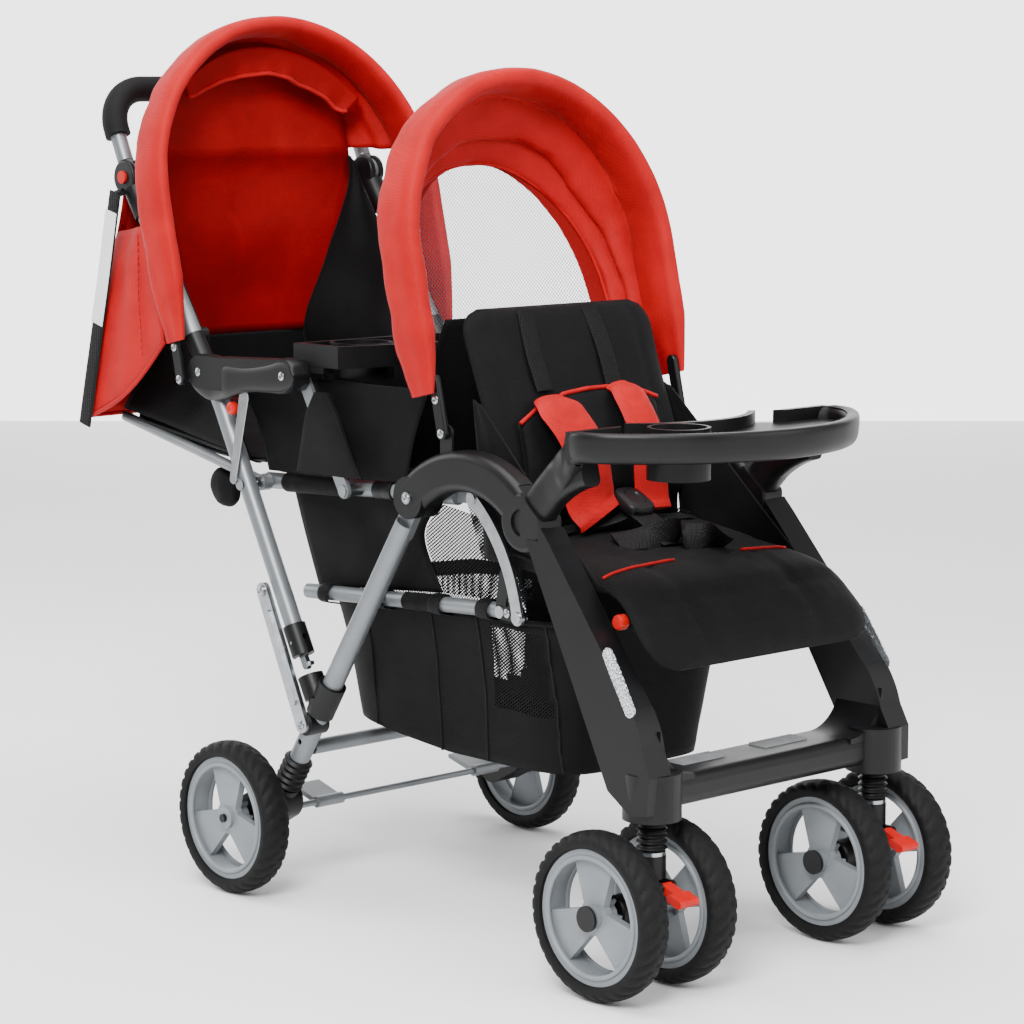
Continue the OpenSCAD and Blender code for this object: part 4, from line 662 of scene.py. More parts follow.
# Point on a hoop and its outward direction, by share of its length from the right foot to the left one
def hoopAt(hoop, share, scale=1.0):
    half, low = hoop["half"], hoop["foot"]
    spring = hoop["height"] - half
    leg, arc = spring - low, math.pi * half
    d = share * (2 * leg + arc)
    if d < leg:
        across, rise, out = -half, low + d, (-1, 0)
    elif d > leg + arc:
        across, rise, out = half, low + (2 * leg + arc - d), (1, 0)
    else:
        a = math.pi - (d - leg) / half
        out = (math.cos(a), math.sin(a))
        across, rise = half * out[0], spring + half * out[1]
    p = pivotOf(hoop) + np.array((0, across * scale, 0)) + upRim * rise * scale
    return p, np.array((0, out[0], 0)) + upRim * out[1]


def riseOf(hoop, p):
    return (p - pivotOf(hoop)) @ upRim


# Place on the line straight back from a hoop's pivot, in metres
def behindPivot(hoop, back):
    return tuple((pivotOf(hoop) + backRim * back) * mm)


# Padded band sewn round a hoop; it bulges between its seams and puckers along its inner edge
bandGrid = {"rows": 150, "cols": 28, "feet": 0.35, "widen": 9, "creaseTop": 0.75}


def padBand(name, hoop, body, node, band):
    rows, seed, pucker = bandGrid["rows"], band["seed"], band["pucker"]
    verts = []
    for i in range(rows):
        share = i / (rows - 1)
        p, out = hoopAt(hoop, share)
        close = min(1.0, bandGrid["feet"] + bandGrid["widen"] * share,
                    bandGrid["feet"] + bandGrid["widen"] * (1 - share))
        legs = max(0, 1 - riseOf(hoop, p) / (bandGrid["creaseTop"] * hoop["height"]))
        for c, s in circle(bandGrid["cols"]):
            deep = band["middle"] + band["depth"] / 2 * signedPower(c, 0.75) * close ** 0.5
            thick = band["thick"] / 2 * signedPower(s, 0.8) * close
            q = p + backRim * deep + out * (thick + band["lift"])
            fold = wander(q, 26, seed) * 0.8 + wander(q, 60, seed + 3) * 1.1
            inner = 0.5 + 0.5 * c
            crease = abs(math.sin(1.3 * math.pi * c + 0.9 * wander(p, 120, seed))) ** 0.55
            fold -= (0.35 + 2.4 * legs) * (1 - crease) * abs(s) ** 0.5
            verts.append(q + out * fold * pucker * (0.25 + inner) + backRim * fold * pucker * 0.5)
    piece = build(name, verts, tubeFaces(rows, bandGrid["cols"]), redTaffeta, body, sharp=70)
    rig.padded(piece, fill=0.5)
    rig.replaces(piece, node)


padBand("front_canopy_band", frontHoop, "front_bow", "front_canopy_bow",
        {"middle": 13, "depth": 62, "thick": 27, "lift": 0.5, "pucker": 2.2, "seed": 1.0})
padBand("rear_canopy_band", rearHoop, "rear_bow", "rear_canopy_bow",
        {"middle": -5, "depth": 58, "thick": 22, "lift": 1.5, "pucker": 1.6, "seed": 5.0})

# Flat moulded ends of the bows under the bands
bowEnd = {"half": 7, "tip": 14, "sides": 40, "thick": 8, "bevel": 1.2, "edgeWide": 0.86, "edgeLong": 0.97}


def bowTips(name, hoop, body, inner):
    half, sides, outer = bowEnd["half"], bowEnd["sides"], inner + bowEnd["thick"]
    mid = hoop["foot"] / 2 + half
    top = hoop["foot"] + bowEnd["tip"]
    outline = [(half * c, (top if s > 0 else 0) + half * s) for c, s in circle(sides)]
    verts, faces = [], []
    for sign in (-1, 1):
        faces += tubeFaces(4, sides, len(verts))
        for y in (inner, inner + bowEnd["bevel"], outer - bowEnd["bevel"], outer):
            atEdge = y in (inner, outer)
            wide, long = (bowEnd["edgeWide"], bowEnd["edgeLong"]) if atEdge else (1.0, 1)
            for c, r in outline:
                verts.append(pivotOf(hoop, sign * y) - backRim * c * wide + upRim * (mid + (r - mid) * long))
    build(name, verts, faces, blackAbs, body, sharp=40)


bowTips("front_bow_ends", frontHoop, "front_bow", 186)
bowTips("rear_bow_ends", rearHoop, "rear_bow", 209)

# Front hood: one sheet from the band to the window's edge, gathered in rolls that run round it
frontHood = {"foot": 0.035, "footDepth": 34, "topDepth": 90, "from": 26, "drawIn": 0.20, "gather": 21.0,
             "rolls": 2.7, "levelSpan": 331, "rows": 130, "cols": 40, "thick": 1.4}


def hoodPoint(share, t):
    p, out = hoopAt(frontHoop, share)
    level = min(1, max(0, (riseOf(frontHoop, p) - frontHoop["foot"]) / frontHood["levelSpan"]))
    edge = frontHood["footDepth"] + (frontHood["topDepth"] - frontHood["footDepth"]) * level ** 0.7
    deep = frontHood["from"] + (edge - frontHood["from"]) * t
    drawn = 1 - frontHood["drawIn"] * min(1, 3.2 * level) * t ** 1.15
    p, out = hoopAt(frontHoop, share, drawn)
    q = p + backRim * deep + out * (4 - 5 * t)
    ends = math.sin(math.pi * t) ** 0.6
    along = frontHood["rolls"] * (t + 0.05 * math.sin(2 * math.pi * t)) + 0.45 * wander(p, 110, 4)
    billow = abs(math.sin(math.pi * along)) ** 0.7
    rough = 0.34 * wander(q, 42, 9) + 0.07 * wander(q, 15, 2)
    return q - out * frontHood["gather"] * (0.35 + 0.65 * level) * ends * (billow - 0.4 + rough)


rows, cols = frontHood["rows"], frontHood["cols"]
hoodShares = [frontHood["foot"] + (1 - 2 * frontHood["foot"]) * i / (rows - 1) for i in range(rows)]
verts = [hoodPoint(share, j / (cols - 1)) for share in hoodShares for j in range(cols)]
rearLoop = [hoodPoint(share, 1) for share in hoodShares]
hoodSheet = build("front_hood_cloth", verts, gridFaces(rows, cols), redTaffeta)
thicken(hoodSheet, frontHood["thick"])
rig.replaces(hoodSheet, "front_canopy")
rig.blend(hoodSheet, "seat_frame", "front_bow", start=behindPivot(frontHoop, 86),
         end=behindPivot(frontHoop, 30))
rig.sheet(hoodSheet, flat=(0.80, 0.14), held="gathered", rests_on=["front_canopy_band"], area=0.09)

# Cord sewn round the window's edge
sewnCord("front_window_cord", [q - backRim * 1.0 for q in rearLoop[8:-8]], 2.2, redTaffeta, "seat_frame")

# Window at the back of the front hood: pale net with a red net border
window = {"low": 690, "border": 0.84, "borderRows": 4, "cols": 51, "bulge": 9}
verts, winRows, winCols = [], 0, window["cols"]
for right, left in zip(rearLoop[:rows // 2], rearLoop[::-1]):
    if right[2] < window["low"]:
        continue
    winRows += 1
    for j in range(winCols):
        v = 2 * j / (winCols - 1) - 1
        q = right * (1 - v) / 2 + left * (1 + v) / 2
        verts.append(q + backRim * window["bulge"] * math.cos(v * math.pi / 2))
netPiece = build("front_hood_window", verts, gridFaces(winRows, winCols), [redNet, paleNet], "seat_frame")
for k, face in enumerate(netPiece.data.polygons):
    row, col = divmod(k, winCols - 1)
    share = abs((2 * col + 1) / (winCols - 1) - 1)
    if share < window["border"] and row < winRows - window["borderRows"]:
        face.material_index = 1
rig.sheet(netPiece, flat=(0.34, 0.26), held="stretched", rests_on=["front_hood_cloth"], area=0.065)
print("front canopy made")

# Rear canopy: hood, back panel and side curtains are one sheet; the push tubes leave it by slits
# above the curtains
rearHood = {"from": 20, "shareLow": 0.2326, "rows": 61, "cols": 22, "backCols": 29, "lowRows": 22,
            "sideCols": 26, "ridge": 9.0, "sag": -14, "side": -214.0, "frontFoot": 50, "frontRise": 146,
            "frontBack": 22, "thick": 1.4}
loopRight = [(-452, -165, 885), (-457, -158, 925), (-462, -135, 965), (-465, -80, 1000), (-466, 0, 1014)]
loopAll = loopRight + [(x, -y, z) for x, y, z in loopRight[-2::-1]]
edgeRight = [(-508, -213, 552), (-498, -213, 615), (-488, -213, 675), (-476, -206, 740), (-470, -195, 785)]
edgeBetween = [edgeRight[-1], (-471, -186, 822), (-468, -181, 858), loopRight[0]]
rowsUp, colsUp, backCols = rearHood["rows"], rearHood["cols"], rearHood["backCols"]
sideCols = rearHood["sideCols"]
topLoop = curveThrough(loopAll, rowsUp)


# Front edge of a side curtain, by share of its height
def curtainFront(share):
    up = rearHood["frontFoot"] + rearHood["frontRise"] * share
    return pivotOf(rearHoop, rearHood["side"]) + upRim * up + backRim * rearHood["frontBack"]


# How far the back panel and the painted-shade sheet in front of it hang out at a point, and how slack they are there
def backSway(m, v):
    calm = 1 - min(1, max(0, (m[2] - 880) / 60))
    hang = (3 + 5 * calm) * math.cos(v * math.pi / 2) + 3 * wander(m, 90, 12) * (1 - v * v) * (0.3 + calm)
    return hang, calm


verts = []
for i in range(rowsUp):
    share = rearHood["shareLow"] + (1 - 2 * rearHood["shareLow"]) * i / (rowsUp - 1)
    p, out = hoopAt(rearHoop, share, 0.995)
    front = p + backRim * rearHood["from"] + out * 1.5
    for j in range(colsUp):
        t = j / (colsUp - 1)
        q = front * (1 - t) + topLoop[i] * t
        arch = math.sin(math.pi * t)
        swell = 4 * arch * (0.6 + wander(q, 70, 2)) + 2.5 * arch * wander(q, 22, 6)
        ridge = rearHood["ridge"] * math.exp(-((t - 0.3) / 0.15) ** 2) * (0.8 + 0.6 * wander(p, 130, 14))
        verts.append(q + out * (swell - ridge))
faces = gridFaces(rowsUp, colsUp)
lowRight = curveThrough(edgeRight, rearHood["lowRows"])
backRight = lowRight + curveThrough(edgeBetween, 8)[1:-1] + topLoop[:rowsUp // 2 + 1]
faces += gridFaces(len(backRight), backCols, len(verts))
for q in backRight:
    other = q * flipSide
    for j in range(backCols):
        v = 2 * j / (backCols - 1) - 1
        m = q * (1 - v) / 2 + other * (1 + v) / 2
        verts.append(m - np.array((backSway(m, v)[0], 0, 0)))
for sign in (1, -1):
    faces += gridFaces(len(lowRight), sideCols, len(verts))
    for i, q in enumerate(lowRight):
        share = i / (len(lowRight) - 1)
        front = curtainFront(share)
        for j in range(sideCols):
            t = j / (sideCols - 1)
            m = front * (1 - t) + q * t
            arch = math.sin(math.pi * t)
            sag = rearHood["sag"] * arch * (1 - share) ** 2
            ripple = 2.2 * arch * (math.sin(9 * t + 2 * share) + wander(m, 40, 8)) + 2.0 * arch
            m = m + np.array((0, max(-0.6, ripple), sag))
            verts.append(m * np.array((1, sign, 1)))
rearSheet = build("rear_hood_cloth", verts, faces, redTaffeta, weld=0.4)
thicken(rearSheet, rearHood["thick"])
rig.replaces(rearSheet, "rear_canopy")
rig.blend(rearSheet, "push_frame", "rear_bow", start=behindPivot(rearHoop, 70), end=behindPivot(rearHoop, 30))
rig.sheet(rearSheet, flat=(0.78, 0.62), held="hung", rests_on=["rear_canopy_band"], area=0.33)

# Rolled hem round the foot of the curtain
hemRight = []
for j in range(sideCols):
    t = j / (sideCols - 1)
    arch = math.sin(math.pi * t)
    drop = np.array((0, 2.0 * arch, rearHood["sag"] * arch))
    hemRight.append(curtainFront(0) * (1 - t) + np.array(edgeRight[0]) * t + drop)
hemLeft = [m * flipSide for m in hemRight]
hemX, hemY, hemZ = edgeRight[0]
backHem = [np.array((hemX - 8 * math.cos(v * math.pi / 2), -hemY * v, hemZ)) for v in np.linspace(-1, 1, 30)]
hemLine = hemRight + backHem[1:-1] + hemLeft[::-1]
sewnCord("rear_curtain_hem", hemLine, 2.6, redTaffeta, "push_frame", fill=0.4)

# Sewn seam down each side curtain
curtainSeam = {"points": 20, "low": 0.04, "span": 0.92, "back": 0.28, "proud": 1.8}
seamEdge = curveThrough(edgeRight, 30)
for sign, word in ((1, "right"), (-1, "left")):
    line = []
    for i in range(curtainSeam["points"]):
        share = curtainSeam["low"] + curtainSeam["span"] * i / (curtainSeam["points"] - 1)
        m = curtainFront(share) * (1 - curtainSeam["back"]) + seamEdge[int(share * 29)] * curtainSeam["back"]
        line.append((m[0], (m[1] - curtainSeam["proud"]) * sign, m[2]))
    stitches("curtain_seam_" + word, line, redTaffeta, "push_frame", 6, 2.5, 0.8)

# Darker red sheet a little in front of the rear hood's back panel: painted shade for the hood's inside
shadeSheetRows = [q for q in backRight[:-1] if q[2] > 640]
verts = []
for q in shadeSheetRows:
    for j in range(backCols):
        v = 2 * j / (backCols - 1) - 1
        m = np.array((q[0] + 5, 0.965 * q[1] * -v, q[2]))
        sway, calm = backSway(m, v)
        sway += 3.0 * math.sin(7.5 * v + 0.4) * (1 - v * v) * calm
        verts.append(m - np.array((sway - 3, 0, 0)))
hoodShadeSheet = build("rear_hood_lining", verts, gridFaces(len(shadeSheetRows), backCols), redPaintedShade, "push_frame")
thicken(hoodShadeSheet, 0.8)
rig.sheet(hoodShadeSheet, flat=(0.38, 0.37), held="hung", rests_on=["rear_hood_cloth"], area=0.125)

# Elastic-edged pocket that hangs under the front edge of the rear hood
pocketShape = {"from": 0.35, "to": 0.68, "rows": 90, "cols": 9, "drop": 34, "start": 20, "thick": 1.2}
verts, pocketEdge = [], []
for i in range(pocketShape["rows"]):
    part = i / (pocketShape["rows"] - 1)
    p, out = hoopAt(rearHoop, pocketShape["from"] + (pocketShape["to"] - pocketShape["from"]) * part)
    held = math.sin(math.pi * part) ** 0.4
    for j in range(pocketShape["cols"]):
        t = j / (pocketShape["cols"] - 1)
        ruffle = 3.2 * t * (math.sin(9 * part + 3 * wander(p, 70, 3)) + 1.2 * wander(p, 26, 8))
        hang = pocketShape["drop"] * (0.55 + 0.45 * held) + 5 * wander(p, 90, 21)
        q = p - out * (pocketShape["start"] + hang * t) + backRim * (14 + 10 * t + ruffle)
        verts.append(q)
    pocketEdge.append(q)
faces = gridFaces(pocketShape["rows"], pocketShape["cols"])
# The pocket takes the darker red that paints the shade under the hood's front edge
pocket = build("rear_hood_pocket", verts, faces, redPaintedShade, "rear_bow")
thicken(pocket, pocketShape["thick"])
sewnCord("rear_hood_pocket_elastic", pocketEdge, 3.0, redTaffeta, "rear_bow")
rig.sheet(pocket, flat=(0.36, 0.034), held="gathered", rests_on=["rear_canopy_band"])
print("rear canopy made")


# Cushions

# A function that places points on a pad, from its side-view path: u runs along it and v across
def padSurface(pad):
    line = curveThrough([(x, 0, z) for x, z in pad["path"]], 60)
    steps = lengthsOf(line)
    length, half, seed = steps[-1], pad["half"], pad["seed"]

    def at(u):
        return pointAt(line, steps, u * length)

    def surface(u, v, face=1, lift=0.0, channelled=True):
        run = unit(at(min(u + 0.03, 1)) - at(max(u - 0.03, 0)))
        normal = np.array((-run[2], 0, run[0]))
        if normal @ np.array((pad["sit"][0], 0, pad["sit"][1])) < 0:
            normal = -normal
        wide = half * (1 - 0.03 * math.sin(math.pi * u) + pad["flare"] * max(2 * u - 1, 0))
        for gap, radius in ((u * length, pad["corner"][0]), ((1 - u) * length, pad["corner"][1])):
            if gap < radius:
                wide -= radius - math.sqrt(max(0, radius ** 2 - (radius - gap) ** 2))
        edge = math.sqrt(max(0, 1 - abs(v) ** 7)) * math.sqrt(max(0, 1 - abs(2 * u - 1) ** 11))
        height = pad["thick"] / 2 * edge * (0.82 + 0.18 * (1 - v * v))
        p = at(u) + np.array((0, v * wide, 0))
        if face > 0:
            for kind, place, depth, width in pad["channels"] if channelled else ():
                off = (v * half - place) if kind == "along" else (u * length - place)
                height -= depth * edge * math.exp(-(off / width) ** 2)
            height += edge * (1.6 * wander(p, 42, seed) + 0.9 * wander(p, 17, seed + 7))
        return p + normal * (face * height + lift)

    return surface


# Channels sewn along a pad at equal distances on both sides of its middle
def pairChannels(place, depth, width):
    return [("along", -place, depth, width), ("along", place, depth, width)]


def padPiece(name, surface, body, node):
    rows, cols = 46, 44
    verts = []
    for face in (1, -1):
        for i in range(rows):
            u = 0.5 - 0.5 * math.cos(math.pi * i / (rows - 1))
            for j in range(cols):
                verts.append(surface(u, -math.cos(math.pi * j / (cols - 1)), face))
    piece = build(name, verts, pairFaces(rows, cols), blackOxford, body, weld=0.3)
    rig.replaces(piece, node)
    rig.padded(piece, fill=0.55)


# Cord sewn into a pad's edge
def edgePiping(name, surface, body, material, radius):
    there, back = np.linspace(0.03, 0.97, 30), np.linspace(0.97, 0.03, 30)
    across, home = np.linspace(-0.97, 0.97, 30), np.linspace(0.97, -0.97, 30)
    loop = [(u, -0.995) for u in there] + [(0.995, v) for v in across]
    loop += [(u, 0.995) for u in back] + [(0.005, v) for v in home]
    line = [surface(u, v, 1) * 0.5 + surface(u, v, -1) * 0.5 for u, v in loop]
    sewnCord(name, line, radius, material, body, closed=True)


pads = {
    "front_seat": {"path": [(184, 457), (284, 443), (390, 425), (434, 391), (466, 351)], "half": 163,
                   "thick": 27, "flare": 0.11, "sit": (0, 1), "corner": (20, 46), "seed": 3,
                   "channels": pairChannels(82, 3.0, 5) + [("across", 118, 2.5, 5), ("across", 236, 3.5, 5)],
                   "body": "seat_frame", "node": "front_seat", "piping": (blackOxford, 2.4)},
    "front_back": {"path": [(186, 493), (176, 563), (146, 643), (120, 715)], "half": 149, "thick": 26,
                   "flare": 0, "sit": (1, 0), "corner": (14, 34), "seed": 11,
                   "channels": pairChannels(62, 3.0, 4) + pairChannels(118, 2.5, 4),
                   "body": "front_back", "node": "front_backrest", "piping": (blackOxford, 2.4)},
    "rear_seat": {"path": [(-180.5, 507.6), (-102.5, 510.8), (1.5, 515)], "half": 149, "thick": 27,
                  "flare": 0, "sit": (0, 1), "corner": (14, 30), "seed": 23,
                  "channels": pairChannels(75, 3.0, 5) + [("across", 92, 3.0, 5)],
                  "body": "seat_frame", "node": "rear_seat", "piping": (redOxford, 2.2)},
    "rear_back": {"path": [(-228.5, 517), (-332.5, 519), (-424.5, 536), (-502.5, 551)], "half": 159,
                  "thick": 26, "flare": 0, "sit": (0, 1), "corner": (14, 34), "seed": 31,
                  "channels": pairChannels(60, 3.0, 4) + [("across", 140, 3.0, 5)],
                  "body": "rear_back", "node": "rear_backrest", "piping": (blackOxford, 2.4)},
}
padSurfaces = {}
for stem, pad in pads.items():
    surface = padSurface(pad)
    padPiece(stem + "_pad", surface, pad["body"], pad["node"])
    edgePiping(stem + "_edge", surface, pad["body"], *pad["piping"])
    padSurfaces[stem] = surface


# Places on the front seat and its back, at a height over the cloth between the channels
def onBack(u, v, lift):
    return padSurfaces["front_back"](u, v, 1, lift, False)


def onSeat(u, v, lift):
    return padSurfaces["front_seat"](u, v, 1, lift, False)


# Lower liner of the front seat's back, with red cord along its arched top
linerShape = {"half": 0.78, "low": 0.02, "rows": 26, "cols": 34, "lift": 3.5, "crown": 5.5, "sink": -3.0,
              "channels": (-0.38, 0.0, 0.38), "channelDeep": 2.2, "channelWide": 0.03}
linerTop = [(-0.78, 0.40), (-0.55, 0.47), (-0.25, 0.525), (0.0, 0.54), (0.25, 0.54), (0.55, 0.52),
            (0.78, 0.47)]


def linerEdge(v):
    return float(np.interp(v, [p[0] for p in linerTop], [p[1] for p in linerTop]))


verts, rows, cols, low = [], linerShape["rows"], linerShape["cols"], linerShape["low"]
for face in (1, -1):
    for i in range(rows):
        for j in range(cols):
            v = -linerShape["half"] + 2 * linerShape["half"] * j / (cols - 1)
            u = low + (linerEdge(v) - low) * i / (rows - 1)
            s, t = 2 * i / (rows - 1) - 1, 2 * j / (cols - 1) - 1
            edge = math.sqrt(max(0, 1 - s ** 8)) * math.sqrt(max(0, 1 - t ** 8))
            lift = linerShape["lift"] + (linerShape["crown"] if face > 0 else linerShape["sink"]) * edge
            for place in linerShape["channels"] if face > 0 else ():
                off = (v - place) / linerShape["channelWide"]
                lift -= linerShape["channelDeep"] * edge * math.exp(-off ** 2)
            verts.append(padSurfaces["front_back"](u, v, 1, lift))
liner = build("front_back_liner", verts, pairFaces(rows, cols), blackOxford, "front_back", weld=0.3)
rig.padded(liner, fill=0.5)
for k, (a, b) in enumerate(((-0.78, -0.47), (-0.30, 0.28), (0.36, 0.78))):
    line = [onBack(linerEdge(v), v, 6) for v in np.linspace(a, b, 16)]
    sewnCord(f"front_liner_cord_{k}", line, 2.6, redOxford, "front_back")

# Red cord across the front seat, where the calf flap is sewn on
for k, (a, b) in enumerate(((-0.96, -0.25), (0.42, 0.86))):
    line = [onSeat(0.545 + 0.02 * v * v, v, 1.2) for v in np.linspace(a, b, 20)]
    sewnCord(f"front_seat_cord_{k}", line, 1.8, redOxford, "seat_frame")
print("cushions made")


# Harness of the front seat

acrossY = (0, 1, 0)
shoulder = {"thick": 13, "steps": 40, "crown": 0.35, "cols": 17, "seamIn": 6, "seamDrop": -4.8, "webWide": 25}
shoulderPads = {  # line from the slot in the back to the lap, then widths
    "right": ([onBack(0.50, -0.44, 8), onBack(0.43, -0.43, 22), onBack(0.26, -0.36, 36),
               onSeat(0.11, -0.26, 40), onSeat(0.15, -0.20, 18)], (48, 72, 66, 78, 84)),
    "left": ([onBack(0.54, 0.34, 6), onBack(0.47, 0.36, 20), onBack(0.27, 0.37, 32), onSeat(0.10, 0.38, 36),
              onSeat(0.13, 0.38, 18)], (40, 52, 54, 54, 50)),
}
for word, (line, widths) in shoulderPads.items():
    steps = shoulder["steps"]
    pad = strap("front_shoulder_pad_" + word, line, widths, shoulder["thick"], acrossY, redOxford,
                "seat_frame", steps, shoulder["crown"], shoulder["cols"])
    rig.padded(pad, fill=0.6)
    path, wide = curveThrough(line, steps), spread(widths, steps)
    for edge, letter in ((-1, "a"), (1, "b")):
        run = []
        for i in range(2, steps - 2):
            along = unit(path[i + 1] - path[i - 1])
            across = unit(np.array(acrossY) - along * along[1])
            seamAt = across * edge * (wide[i] / 2 - shoulder["seamIn"])
            run.append(path[i] + seamAt + np.cross(along, across) * shoulder["seamDrop"])
        stitches(f"shoulder_stitch_{word}_{letter}", run, redOxford, "seat_frame", 4.5, 2.2, 0.6)
    v = line[0][1] / pads["front_back"]["half"]
    top = strap("front_shoulder_web_" + word, [onBack(0.97, v, 3), onBack(0.75, v, 3.2), onBack(0.55, v, 4)],
                (shoulder["webWide"],) * 3, 2.4, acrossY, webbing, "front_back", 20, 0.2)
    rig.sheet(top, flat=(0.025, 0.11), held="laid", rests_on=["front_back_pad"])
buckleAt = onSeat(0.15, 0.10, 24)
webs = {  # line, width in millimetres, length in metres
    "front_crotch_web": ([onSeat(0.40, 0.07, 1.5), onSeat(0.33, 0.08, 8), onSeat(0.24, 0.09, 18), buckleAt],
                         38, 0.11),
    "front_waist_web_right": ([onSeat(0.07, -0.84, 3), onSeat(0.10, -0.5, 4), onSeat(0.14, -0.12, 12),
                               buckleAt], 25, 0.17),
    "front_waist_web_left": ([onSeat(0.07, 0.84, 3), onSeat(0.10, 0.55, 4), onSeat(0.14, 0.25, 12), buckleAt],
                             25, 0.14),
}
seatRun = onSeat(0.3, 0, 0) - onSeat(0.1, 0, 0)
for name, (line, wide, long) in webs.items():
    side = acrossY if "crotch" in name else seatRun
    piece = strap(name, line, (wide,) * 3, 2.6, side, webbing, "seat_frame", 30, 0.2)
    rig.sheet(piece, flat=(wide * mm, long), held="laid", rests_on=["front_seat_pad"])
tailLine = [onSeat(0.30, -0.34, 2.5), onSeat(0.34, -0.10, 7), onSeat(0.40, 0.10, 12), onSeat(0.47, 0.26, 8),
            onSeat(0.49, 0.38, 2.5)]
tail = strap("front_belt_tail", tailLine, (36, 38, 40, 38), 3, seatRun + (0, 90, 0), webbing, "seat_frame",
             40, 0.2)
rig.sheet(tail, flat=(0.038, 0.13), held="laid", rests_on=["front_seat_pad"])

# Five-point buckle: rounded shell with a press button
buckle = {"long": 24, "wide": 21, "tilt": math.radians(28), "lift": (0, 0, 6), "sides": 32, "profile": (
    (0.86, -7), (1, -4), (1, 4), (0.9, 7), (0.55, 8), (0.5, 6.4), (0.02, 6.4))}
verts = []
leanCos, leanSin = math.cos(buckle["tilt"]), math.sin(buckle["tilt"])
for r, h in buckle["profile"]:
    for c, s in circle(buckle["sides"]):
        x, y = signedPower(s, 0.6) * buckle["long"] * r, signedPower(c, 0.6) * buckle["wide"] * r
        q = np.array((x * leanCos + h * leanSin, y, -x * leanSin + h * leanCos))
        verts.append(buckleAt + q + buckle["lift"])
faces = gridFaces(len(buckle["profile"]), buckle["sides"], closeCols=True)
faces.append(tuple(range(buckle["sides"]))[::-1])
build("front_harness_buckle", verts, faces, blackAbs, "seat_frame", weld=0.3, sharp=40)

# Rear seat's red shoulder pads, lying loose under the tray, and its webbing
rearPadAway = 72
for sign, word in bothSides:
    y = sign * rearPadAway
    line = [(-212, y, 546), (-190, y - 4, 574), (-164, y - 6, 572), (-142, y - 3, 552), (-126, y, 536)]
    pad = strap("rear_shoulder_pad_" + word, line, (32, 38, 44, 46, 42), 11, acrossY, redOxford, "seat_frame",
                36, 0.35, 15)
    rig.padded(pad, fill=0.6)
    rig.squash(pad, "fold", axis=(0, 0, 1), anchor=(0, 0, 0.52), keep=0.5)
crotchLine = [(-30, 0, 532), (-70, 2, 548), (-112, 4, 552), (-140, 4, 534)]
web = strap("rear_crotch_web", crotchLine, (38, 38, 38), 2.6, acrossY, webbing, "seat_frame", 24, 0.2)
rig.sheet(web, flat=(0.038, 0.13), held="laid", rests_on=["rear_seat_pad"])
print("harness made")


# Hanging cloths: grids between two edge lines, with folds
def hangingCloth(name, front, back, folds, body, material=blackOxford, sign=1, grid=(24, 24)):
    rows, cols = grid
    a, b = curveThrough(front, rows), curveThrough(back, rows)
    verts = []
    for i in range(rows):
        for j in range(cols):
            t = j / (cols - 1)
            m = a[i] * (1 - t) + b[i] * t
            still = math.sin(math.pi * t) * (0.4 + 0.6 * math.sin(math.pi * i / (rows - 1)))
            m[1] = sign * (m[1] + folds * still * (0.6 * math.sin(7 * t + 0.2 * i) + wander(m, 45, 5)))
            verts.append(m)
    piece = build(name, verts, gridFaces(rows, cols), material, body)
    thicken(piece, 1.6)
    return piece


sideCloths = {  # edges on the left side; both sides are made from them
    "rear_wing": {
        "front": [(-222, 180, 520), (-268, 180, 596), (-350, 178, 716), (-428, 174, 830), (-440, 170, 866)],
        "back": [(-495, 172, 560), (-489, 116, 642), (-472, 140, 735), (-452, 164, 830), (-452, 166, 876)],
        "folds": 5, "body": "push_frame", "grid": (40, 30),
        "cut": {"flat": (0.30, 0.36), "rests_on": ["push_tubes"], "area": 0.062}},
    "rear_back_flap": {
        "front": [(-232, 157, 512), (-232, 167, 514), (-232, 177, 521)],
        "back": [(-498, 157, 546), (-498, 167, 548), (-496, 176, 555)], "folds": 0.8, "body": "rear_back",
        "cut": {"flat": (0.27, 0.022), "rests_on": ["rear_back_tube"]}},
    "basket_apron": {
        "front": [(70, 134, 492), (44, 134, 448), (76, 134, 386)],
        "back": [(-196, 134, 482), (-176, 134, 430), (-150, 134, 368)], "folds": 4, "netOn": ("left",),
        "cut": {"flat": (0.30, 0.13), "rests_on": ["seat_rails"], "area": 0.03}},
    "basket_net": {
        "front": [(214, 133, 470), (214, 133, 430), (214, 133, 390)],
        "back": [(72, 133, 490), (46, 133, 448), (78, 133, 386)], "folds": 2, "netOn": ("right", "left"),
        "cut": {"flat": (0.16, 0.11), "rests_on": ["seat_rails"], "area": 0.015}},
    "rear_seat_flank": {
        "front": [(-96, 166, 508), (-104, 166, 570), (-112, 166, 612)],
        "back": [(-206, 165, 506), (-226, 165, 560), (-258, 165, 604)], "folds": 4,
        "cut": {"flat": (0.16, 0.12), "rests_on": ["seat_rails"], "area": 0.012}},
    "front_seat_flank": {
        "front": [(372, 160, 424), (298, 159, 488), (164, 153, 612)],
        "back": [(176, 158, 440), (166, 157, 530), (150, 153, 618)], "folds": 4,
        "cut": {"flat": (0.22, 0.22), "rests_on": ["front_seat_pad"], "area": 0.02}},
    "footwell_side": {
        "front": [(36, 154, 512), (50, 153, 566), (72, 150, 622)],
        "back": [(-98, 168, 508), (-106, 169, 566), (-114, 170, 624)], "folds": 4,
        "cut": {"flat": (0.17, 0.10), "rests_on": ["seat_rails"], "area": 0.016}},
}
for sign, word in bothSides:
    for stem, cloth in sideCloths.items():
        finish = blackNet if word in cloth.get("netOn", ()) else blackOxford
        piece = hangingCloth(f"{stem}_{word}", cloth["front"], cloth["back"], cloth["folds"],
                             cloth.get("body", "seat_frame"), finish, sign, cloth.get("grid", (24, 24)))
        if stem == "rear_seat_flank":
            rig.squash(piece, "fold", axis=(0, 0, 1), anchor=(0, 0, 0.51), keep=0.35)
        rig.sheet(piece, held="hung", **cloth["cut"])


